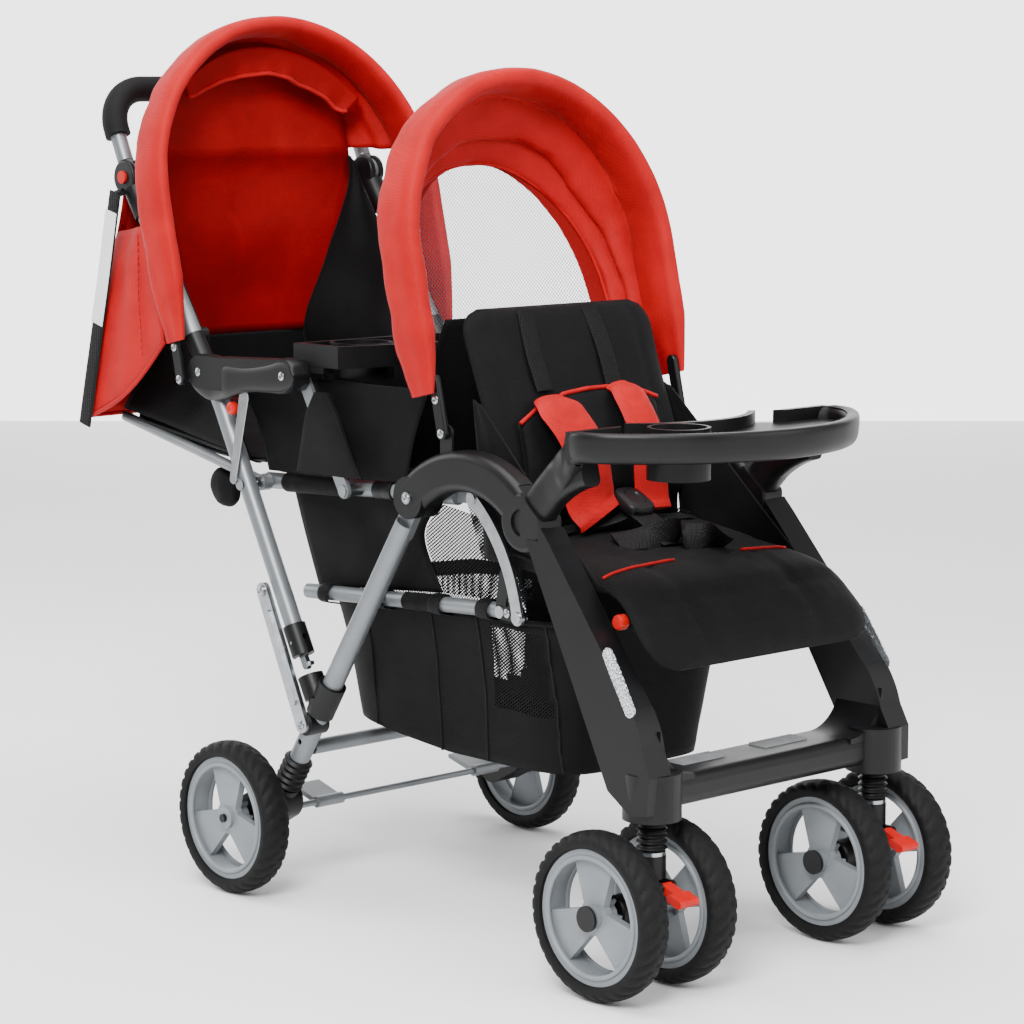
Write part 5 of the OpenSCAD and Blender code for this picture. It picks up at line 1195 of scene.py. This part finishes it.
# A cloth from side to side, given by its right edge
def crossCloth(name, edge, folds, body, grid=(24, 24)):
    return hangingCloth(name, edge, [(x, -y, z) for x, y, z in edge], folds, body, grid=grid)


# Black lining at the head of the rear seat, below the red back panel
lining = crossCloth("rear_head_lining", [(-497, -170, 561), (-493, -144, 604), (-489, -118, 646)], 0.8,
                    "push_frame")
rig.sheet(lining, flat=(0.30, 0.09), held="hung", rests_on=["rear_hood_cloth"], area=0.023)
# Cover behind the front seat's back, down to the rear rider's footwell
cover = crossCloth("front_back_cover", [(4, -150, 524), (52, -149, 612), (96, -146, 704)], 0, None, (26, 26))
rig.blend(cover, "seat_frame", "front_back", start=(0.02, 0, 0.53), end=(0.09, 0, 0.70))
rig.sheet(cover, flat=(0.30, 0.20), held="stretched", rests_on=["front_back_pad"])
# Gusset between the front seat and its back
gusset = crossCloth("front_seat_gusset", [(182, -150, 508), (174, -152, 478), (176, -154, 446)], 0,
                    "seat_frame")
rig.sheet(gusset, flat=(0.30, 0.065), held="stretched", rests_on=["front_seat_pad"])
# Gusset between the rear seat and its back, across the recline hinge
rearGusset = crossCloth("rear_seat_gusset", [(-170, -140, 508), (-204, -147, 503), (-240, -150, 517)], 0,
                        None)
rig.blend(rearGusset, "seat_frame", "rear_back", start=(-0.182, 0, 0.505), end=(-0.230, 0, 0.513))
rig.sheet(rearGusset, flat=(0.30, 0.072), held="stretched", rests_on=["rear_seat_pad"])

# Padded cloth pouch round each armrest strut
pouchShape = {"rows": 22, "cols": 28, "top": 610, "tall": 96, "side": 183.5, "waist": (0, 0.25, 1),
              "rear": (-96, -112, -130), "front": (-72, -52, -12), "sag": 5, "outerShare": 0.55}
for sign, word in bothSides:
    verts, rows = [], pouchShape["rows"]
    for i in range(rows):
        t = i / (rows - 1)
        rear, front = (np.interp(t, pouchShape["waist"], pouchShape[end]) for end in ("rear", "front"))
        mid, half = (rear + front) / 2, (front - rear) / 2
        z = pouchShape["top"] - pouchShape["tall"] * t
        thick = 5.5 + 4.0 * math.sin(math.pi * min(t + 0.1, 1))
        for c, s in circle(pouchShape["cols"]):
            sag = pouchShape["sag"] * math.sin(math.pi * t) * c ** 2
            p = np.array((mid + half * c, sign * pouchShape["side"], z - sag))
            p[1] += thick * signedPower(s, 0.7) * (pouchShape["outerShare"] if s * sign > 0 else 1)
            p[1] += 0.8 * wander(p, 25, 2)
            verts.append(p)
    faces = tubeFaces(rows, pouchShape["cols"])
    pouch = build("strut_pouch_" + word, verts, faces, blackOxford, "strut_pair", sharp=60)
    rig.padded(pouch, fill=0.4)

# Basket: a lofted bag that sags between its corners; the front bay is net
basket = {"top": 373, "low": 196, "rear": (-160, -124), "front": (305, 270), "half": (139, 120), "lift": 19,
          "liftFrom": 60, "liftRun": 184, "levels": 20, "around": 96, "floorRings": 6, "scallops": 3,
          "square": 0.35, "thick": 1.6, "seams": (-60, 60, 140, 250), "loops": (-110, -10, 90, 172)}
levels, around = basket["levels"], basket["around"]


def basketRing(t, shrink=0.0):
    rear = np.interp(t, (0, 1), basket["rear"]) + shrink * 150
    front = np.interp(t, (0, 1), basket["front"]) - shrink * 150
    wide = np.interp(t, (0, 1), basket["half"]) * (1 - shrink * 0.75)
    return [((front + rear) / 2 + (front - rear) / 2 * signedPower(c, basket["square"]),
             wide * signedPower(s, basket["square"])) for c, s in circle(around)]


# The bag's floor rises towards the rear
def floorRise(x):
    return max(0, (basket["liftFrom"] - x) / basket["liftRun"])


verts = []
for i in range(levels):
    t = i / (levels - 1)
    pull = math.sin(math.pi * t)
    for x, y in basketRing(t):
        z = basket["top"] - (basket["top"] - basket["low"]) * t + basket["lift"] * t * floorRise(x)
        inward = 1 - 0.025 * pull * (1 + wander((x, y, z), 60, 4))
        slack = 5 * wander((x, y, 0), 70, 8) if t < 0.05 else 2.5 * wander((x, y, z), 35, 3) * pull
        q = np.array((x, y * inward, z + slack))
        if t < 0.08:
            q[2] -= 5 * abs(math.sin((x + 160) / 466 * basket["scallops"] * math.pi))
        verts.append(q)
for i in range(1, basket["floorRings"] + 1):
    share = i / basket["floorRings"]
    for x, y in basketRing(1, share * 0.98):
        z = basket["low"] + basket["lift"] * floorRise(x) - 1.5 * math.sin(share * math.pi)
        verts.append(np.array((x, y, z + 1.5 * wander((x, y, z), 50, 9))))
faces = gridFaces(levels + basket["floorRings"], around, closeCols=True)
bag = build("basket_bag", verts, faces, [blackOxford, blackNet], "seat_frame")
for face in bag.data.polygons:
    c = face.center / mm
    atRear = c[0] < -60 and (c[1] > 0 or c[0] < -128) and 232 < c[2] < 356
    if atRear or (146 < c[0] < 244 and abs(c[1]) > 100 and 262 < c[2] < 362):
        face.material_index = 1
thicken(bag, basket["thick"])
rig.replaces(bag, "basket")
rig.sheet(bag, flat=(0.62, 0.72), held="hung", rests_on=["side_rails"], area=0.36)
rim = [v + np.array((0, 0, 0.5)) for v in verts[:around]]
sewnCord("basket_binding", rim, 3.0, blackOxford, "seat_frame", closed=True)
for k, x in enumerate(basket["seams"]):  # bound seams down the sides
    for sign, word in bothSides:
        line = []
        for i in range(levels):
            ring = [p for p in verts[i * around:(i + 1) * around] if p[1] * sign > 0]
            near = min(ring, key=lambda p: abs(p[0] - x) + 0.01 * abs(p[2]))
            line.append(near + np.array((x - near[0], sign * 1.2, 0)))
        sewnCord(f"basket_seam_{k}_{word}", line, 1.7, webbing, "seat_frame", sides=6)


# Height of the side rails' middle line
def sideRailAt(x):
    return 363 + (x + 150.5) / 370.5 * 21


# Loops that hang the basket on the side rails
loopSection = [(139, 6), (150, 11), (161, 5), (160.5, -8), (148, -12), (138.5, -14)]  # across, over the rail
for k, x in enumerate(basket["loops"]):
    for sign, word in bothSides:
        line = [(x, sign * 137, 358)] + [(x, sign * y, sideRailAt(x) + over) for y, over in loopSection]
        loop = strap(f"basket_loop_{k}_{word}", line, (20, 20), 1.8, (1, 0, 0), webbing, "seat_frame",
                     26, 0.1, 7)
        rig.sheet(loop, flat=(0.02, 0.075), held="hung", rests_on=["side_rails"])
print("side cloths and basket made")


# Wrist strap with its blank label
wristSide = (1, 0, 0.25)
strapLine = [(-442, -217.6, 836), (-460, -217.8, 762), (-482, -217.6, 676), (-500, -217.8, 606),
             (-517, -217.6, 540)]
wrist = strap("wrist_strap_web", strapLine, (24, 25, 25, 25), 3.2, wristSide, webbing, "push_frame", 40, 0.1)
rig.replaces(wrist, "wrist_strap")
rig.sheet(wrist, flat=(0.025, 0.305), held="hung", rests_on=["handle_knuckles"])
labelLine = [(-449, -219.7, 812), (-466, -219.9, 738), (-484, -219.7, 670)]
label = strap("wrist_strap_label", labelLine, (24, 24), 0.9, wristSide, labelCloth, "push_frame", 24, 0.1)
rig.sheet(label, flat=(0.024, 0.147), held="laid", rests_on=["wrist_strap_web"])
tabLine = [(-442, -206, 832), (-443, -212, 838), (-443, -217, 834)]
tab = strap("wrist_strap_tab", tabLine, (20, 20), 3, (1, 0, 0.3), webbing, "push_frame", 14, 0.1, 7)
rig.sheet(tab, flat=(0.02, 0.016), held="hung", rests_on=["handle_knuckles"])


# Tyres with slanted shoulder grooves
tyre = {"grooves": 34, "perGroove": 6, "deep": 2.0, "open": 0.34, "slant": 0.055, "from": 4, "to": 18.5,
        "above": 84}
halfProfile = [(74.3, -14.5), (75.2, -17.6), (78.5, -18.8), (82.5, -18.9), (85.6, -18.0), (88.2, -16.0),
               (90.2, -13.0), (91.5, -9.0), (92.2, -4.5), (92.5, 0)]
tyreProfile = halfProfile + [(r, -y) for r, y in halfProfile[-2::-1]]
for nodeName in [n for n in nodes if "tyre" in n]:
    low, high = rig.box(nodeName)
    mid = (low + high) / 2 / mm
    count, width = tyre["grooves"] * tyre["perGroove"], len(tyreProfile)
    verts = []
    for k, (c, s) in enumerate(circle(count)):
        for r, y in tyreProfile:
            phase = (k / tyre["perGroove"] + tyre["slant"] * (abs(y) - 5) + (0.5 if y > 0 else 0)) % 1
            onShoulder = tyre["from"] < abs(y) < tyre["to"] and r > tyre["above"]
            cut = tyre["deep"] if onShoulder and phase < tyre["open"] else 0
            y *= 1 - 0.02 * (cut > 0)
            verts.append((mid[0] + (r - cut) * c, mid[1] + y, mid[2] + (r - cut) * s))
    faces = gridFaces(count, width, closeRows=True)
    for k in range(count):
        here, ahead = k * width, ((k + 1) % count) * width
        faces.append((here + width - 1, here, ahead, ahead + width - 1))
    tread = build("grooved_" + nodeName, verts, faces, evaFoam, nodes[nodeName]["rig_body"], sharp=38)
    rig.replaces(tread, nodeName)
print("tyres made")


# Trim

# Direction from one end of a flat bar to the other in side view, and the direction across it
def barAxes(a, b):
    along = (b - a) / np.linalg.norm(b - a)
    return along, np.array((-along[1], along[0]))


# Reflectors let into the outer faces of the front legs
reflector = {"top": (419.6, 368.3), "low": (455.6, 314.3), "radius": 8.0, "sides": 40, "legSide": 195.2,
             "legTop": 494.3, "splay": math.radians(3.3), "square": 0.3,
             "profile": ((-1.0, 1.0), (0.5, 1.0), (1.1, 0.86), (1.2, 0.02))}
a, b = np.array(reflector["top"]), np.array(reflector["low"])
along, wide = barAxes(a, b)
length = np.linalg.norm(b - a)
for sign, word in bothSides:
    verts = []
    for h, shrink in reflector["profile"]:
        for c, s in circle(reflector["sides"]):
            flat = 1 if abs(c) > reflector["square"] else abs(c) / reflector["square"]
            reach = math.copysign(length / 2 * shrink, c) * flat + c * reflector["radius"] * shrink
            q = (a + b) / 2 + along * reach + wide * s * reflector["radius"] * shrink
            y = reflector["legSide"] + (reflector["legTop"] - q[1]) * math.tan(reflector["splay"]) + h
            verts.append((q[0], sign * y, q[1]))
    faces = gridFaces(len(reflector["profile"]), reflector["sides"], closeCols=True)
    build("leg_reflector_" + word, verts, faces, reflectorFoil, "seat_frame", weld=0.3, sharp=40)

# Grip pads on the step, ribbed across
stepPad = {"spans": ((-108, -42), (22, 92)), "x": (414, 415, 440, 441), "ribs": 33, "base": 237.6,
           "dip": 239.7, "rib": 240.6}
for k, (y0, y1) in enumerate(stepPad["spans"]):
    verts, ribs = [], stepPad["ribs"]
    for i in range(ribs):
        y = y0 + (y1 - y0) * i / (ribs - 1)
        h = stepPad["rib"] if i % 2 else stepPad["dip"]
        for x in stepPad["x"]:
            verts.append((x, y, h if x in stepPad["x"][1:3] and 0 < i < ribs - 1 else stepPad["base"]))
    faces = gridFaces(ribs, len(stepPad["x"]))
    build(f"step_grip_pad_{k}", verts, faces, treadRubber, "seat_frame", sharp=30)

# Rounded outer moulding of the front tray, one sweep from arm to arm round the nose
tray = {"nose": (266.1, 240.5), "corner": (373.6, 145.0, 60.0), "turn": math.radians(53.45), "mid": 587.0,
        "steps": 26, "rings": 170, "sides": 28, "square": 0.62, "armDrop": 30}
armRun = [(289.5, 178, 513), (310, 178, 535), (330, 180, 553), (345, 187, 569), (356, 197, 582)]
edgeRun = []
cornerX, cornerY, cornerR = tray["corner"]
noseX, noseR = tray["nose"]
for k in range(tray["steps"] + 1):
    a = math.pi / 2 - (math.pi / 2 - tray["turn"]) * k / tray["steps"]
    edgeRun.append((cornerX + cornerR * math.cos(a), cornerY + cornerR * math.sin(a), tray["mid"]))
for k in range(1, 2 * tray["steps"]):
    a = tray["turn"] * (1 - k / tray["steps"])
    edgeRun.append((noseX + noseR * math.cos(a), noseR * math.sin(a), tray["mid"]))
edgeRun += [(x, -y, z) for x, y, z in edgeRun[tray["steps"]::-1]]
trayRun = [np.array(p, float) for p in armRun + edgeRun + [(x, -y, z) for x, y, z in armRun[::-1]]]
lengths = lengthsOf(trayRun)
even = [pointAt(trayRun, lengths, d) for d in np.linspace(0, lengths[-1], tray["rings"])]
verts = []
for i, p in enumerate(even):
    run = unit(even[min(i + 1, tray["rings"] - 1)] - even[max(i - 1, 0)])
    onArm = min(1, max(0, (tray["mid"] - p[2]) / tray["armDrop"]))
    side = unit(np.cross(run, (0, 0, 1)))
    up = np.cross(side, run)
    tall, deep = 16.8 + 4.2 * onArm, 8.2 + 5.8 * onArm
    for c, s in circle(tray["sides"]):
        slant = -2.6 * (1 - onArm) * (1 - s)
        outward = deep * signedPower(c, tray["square"]) + 4.6 * (1 - onArm)
        upward = tall * signedPower(s, tray["square"])
        verts.append(p + up * upward + side * -(outward + slant - 6.0 * (1 - onArm)))
faces = tubeFaces(tray["rings"], tray["sides"])
build("front_tray_moulding", verts, faces, blackAbs, "front_tray_body", sharp=50)

# Sculpted outer shell of each armrest: stations with the heights of its top and its underside
armrest = {"inner": 189, "outerFrom": (-262, -228), "outer": (208.3, 215.6), "rings": 60, "sides": 32}
shellLine = [(-311, 634, 610), (-296, 643, 596), (-270, 644, 588), (-230, 639, 594), (-190, 637, 604),
             (-150, 643, 606), (-122, 650, 607), (-104, 645, 614), (-95, 632, 627)]
topLine = curveThrough([(x, 0, top) for x, top, low in shellLine], armrest["rings"])
lowLine = curveThrough([(x, 0, low) for x, top, low in shellLine], armrest["rings"])
for sign, word in bothSides:
    verts, inner = [], armrest["inner"]
    for hi, lo in zip(topLine, lowLine):
        mid = (hi + lo) / 2
        outer = np.interp(mid[0], armrest["outerFrom"], armrest["outer"])
        for c, s in circle(armrest["sides"]):
            y = (inner + outer) / 2 + (outer - inner) / 2 * signedPower(c, 0.5)
            q = mid + (hi - lo) / 2 * signedPower(s, 0.55)
            verts.append((q[0], sign * y, q[2]))
    faces = tubeFaces(armrest["rings"], armrest["sides"])
    build("armrest_shell_" + word, verts, faces, blackAbs, "armrest_pair", sharp=50)

# Ribbed rubber boots over the springs; each shortens as its suspension rises
boots = {  # foot and head on the left side, radius, body, joints of the right and left boot
    "front_boot": ((463.5, 179, 160.4), (463.5, 179, 194.6), 17, "seat_frame",
                   {"right": "suspension_right", "left": "suspension_left"}),
    "rear_boot": ((-140.8, 193.9, 131.8), (-118.5, 192.3, 168.6), 18, "rear_leg_frame",
                  {"right": "rear_suspension", "left": "rear_suspension"}),
}
bootShape = {"ribs": 5, "rise": 10.0, "dip": 0.2, "steps": 60, "sides": 32}
for stem, (leftFoot, leftHead, radius, body, joints) in boots.items():
    for sign, word in bothSides:
        foot, head = np.array(leftFoot) * (1, sign, 1), np.array(leftHead) * (1, sign, 1)
        run = unit(head - foot)
        across = unit(np.cross(run, (1, 0, 0)))
        other = np.cross(run, across)
        verts = []
        for i in range(bootShape["steps"] + 1):
            t = i / bootShape["steps"]
            r = radius * (1 - bootShape["dip"] * abs(math.cos(math.pi * bootShape["ribs"] * t)) ** 1.6)
            for c, s in circle(bootShape["sides"]):
                verts.append(foot + (head - foot) * t + (across * c + other * s) * r)
        faces = tubeFaces(bootShape["steps"] + 1, bootShape["sides"])
        boot = build(f"{stem}_{word}", verts, faces, bootRubber, body, sharp=50)
        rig.squash(boot, joints[word], axis=tuple(run), anchor=tuple(head * mm),
                  keep=1 - bootShape["rise"] / np.linalg.norm(head - foot))
        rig.replaces(boot, stem + "s")

# Screw heads that show on the right and left sides, domed, with a cross slot
screwHead = {"radius": 5.2, "sides": 20, "slotFrom": 0.52, "slotShare": 0.55}
screwPlaces = {
    "armrest_pair": [(-117.4, 215.4, 629.1), (-289.4, 208.4, 622.1)],
    "push_frame": [(-316.3, 195.0, 611.6)],
    "rear_bow": [(-316.3, 217.0, 611.6), (-325.3, 217.0, 650.6)],
    "front_bow": [(141, 194.0, 581), (132.2, 194.0, 619)],
    "seat_frame": [(84, 197.0, 503), (217, 163.0, 383)],
    "latch_bar_pair": [(-162.5, 215.0, 368), (-90.1, 213.0, 215.6)],
}
rad, around = screwHead["radius"], screwHead["sides"]
headProfile = [(rad, 0), (rad, 0.8), (rad * 0.86, 1.5), (rad * 0.55, 1.9), (rad * 0.5, 0.9), (0.01, 0.7)]
for body, places in screwPlaces.items():
    verts, faces = [], []
    for x, y, z in places:
        for sign in (-1, 1):
            faces += gridFaces(len(headProfile), around, len(verts), closeCols=True)
            for r, h in headProfile:
                for k, (c, s) in enumerate(circle(around)):
                    solid = r > rad * screwHead["slotFrom"] or k % 5 in (0, 1)
                    inner = 1.0 if solid else screwHead["slotShare"]
                    verts.append((x + r * inner * c, sign * y + sign * h, z + r * inner * s))
    build("screws_" + body, verts, faces, zincPlate, body, weld=0.05, sharp=35)

# Flat steel stay and its red button under each armrest
stay = {"top": (-199, 598), "low": (-222, 497), "topRadius": 9.0, "lowRadius": 6.0, "sides": 36,
        "profile": ((206.7, 0.94), (207.2, 1.0), (208.4, 1.0), (208.9, 0.94))}
stayButton = {"middle": (-222, 583), "sides": 28, "profile": (
    (205.0, 8.0), (210.0, 8.0), (211.6, 7.2), (212.2, 5.0), (211.4, 3.4), (211.4, 0.05))}
a, b = np.array(stay["top"]), np.array(stay["low"])
along, wide = barAxes(a, b)
for sign, word in bothSides:
    verts = []
    for h, shrink in stay["profile"]:
        for c, s in circle(stay["sides"]):
            r = (stay["topRadius"] if c > 0 else stay["lowRadius"]) * shrink
            q = (a if c > 0 else b) - along * c * r + wide * s * r
            verts.append((q[0], sign * h, q[1]))
    faces = tubeFaces(len(stay["profile"]), stay["sides"])
    build("armrest_stay_" + word, verts, faces, zincPlate, "push_frame", sharp=40)
    roundPiece("armrest_button_" + word, stayButton["profile"], stayButton["middle"], sign,
               stayButton["sides"], redAbs, "push_frame", 0.1, 40)

# Cloth sleeves and ribbed clips on the seat rails and side rails
railSide = 150.0
sleeves = (  # rear end, front end, radius, ribs, finish
    (-190, -70, 12.4, 0, blackOxford),
    (-20, 14, 12.0, 0, blackAbs),
    (22, 46, 12.8, 5, blackAbs),
)
sleeveShape = {"rings": 40, "sides": 24, "end": 10.1, "groove": 1.4}
lowSleeve = {"from": 30, "long": 62, "rings": 30, "sides": 24, "radius": 10.6, "end": 9.1}


def seatRailAt(x, sign):
    return np.array((x, sign * railSide, 491 + (x + 212.5) * 12 / 296.5))


for sign, word in bothSides:
    for k, (x0, x1, radius, ribs, finish) in enumerate(sleeves):
        verts, rings = [], sleeveShape["rings"]
        for i in range(rings):
            t = i / (rings - 1)
            x = x0 + (x1 - x0) * t
            r = radius - (sleeveShape["groove"] if ribs and (t * ribs) % 1 < 0.4 else 0)
            r += 0 if ribs else 0.7 * wander((x, 0, 0), 14, 4)
            r = r if 0 < i < rings - 1 else sleeveShape["end"]
            for c, s in circle(sleeveShape["sides"]):
                verts.append(seatRailAt(x, sign) + np.array((0, r * c, r * s)))
        faces = gridFaces(rings, sleeveShape["sides"], closeCols=True)
        sleeve = build(f"rail_sleeve_{k}_{word}", verts, faces, finish, "seat_frame", sharp=50)
        if finish is blackOxford:
            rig.padded(sleeve, fill=0.3)
    verts, rings = [], lowSleeve["rings"]
    for i in range(rings):
        x = lowSleeve["from"] + lowSleeve["long"] * (i / (rings - 1))
        r = lowSleeve["radius"] + 0.6 * wander((x, 0, 0), 12, 2) if 0 < i < rings - 1 else lowSleeve["end"]
        for c, s in circle(lowSleeve["sides"]):
            verts.append((x, sign * railSide + r * c, sideRailAt(x) + r * s))
    faces = gridFaces(rings, lowSleeve["sides"], closeCols=True)
    sleeve = build("side_rail_sleeve_" + word, verts, faces, blackOxford, "seat_frame", sharp=50)
    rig.padded(sleeve, fill=0.3)

# Rolled cloth under the rear seat's back, tied to its tube
roll = {"middle": (-305, -156, 475), "long": 46, "tip": -8, "radius": 24, "flat": 0.6, "rings": 22,
        "sides": 24}
verts = []
rollX, rollY, rollZ = roll["middle"]
for i in range(roll["rings"]):
    t = i / (roll["rings"] - 1)
    r = roll["radius"] * math.sin(math.pi * (0.06 + 0.88 * t)) ** 0.5
    for c, s in circle(roll["sides"]):
        p = np.array((rollX + roll["long"] * (t - 0.5), rollY + roll["flat"] * r * c,
                      rollZ + roll["tip"] * (t - 0.5) + r * s))
        verts.append(p + np.array((0, 1, 1)) * 2.0 * wander(p, 18, 6))
faces = tubeFaces(roll["rings"], roll["sides"])
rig.padded(build("rolled_cover", verts, faces, blackOxford, "rear_back", sharp=60), fill=0.5)

# Red cap at each end of the seat's front edge
seatCap = {"middle": (404, 398), "sides": 24, "profile": ((164, 8.5), (172, 8.5), (174.5, 7), (175.5, 0.05))}
for sign, word in bothSides:
    roundPiece("seat_end_cap_" + word, seatCap["profile"], seatCap["middle"], sign, seatCap["sides"], redAbs,
               "seat_frame", 0.1, 45)
print("trim made")

visualLow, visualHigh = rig.bounds()
with open("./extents.json", "w") as f:
    json.dump({"cad": [list(cadLow), list(cadHigh)], "visual": [list(visualLow), list(visualHigh)]}, f)
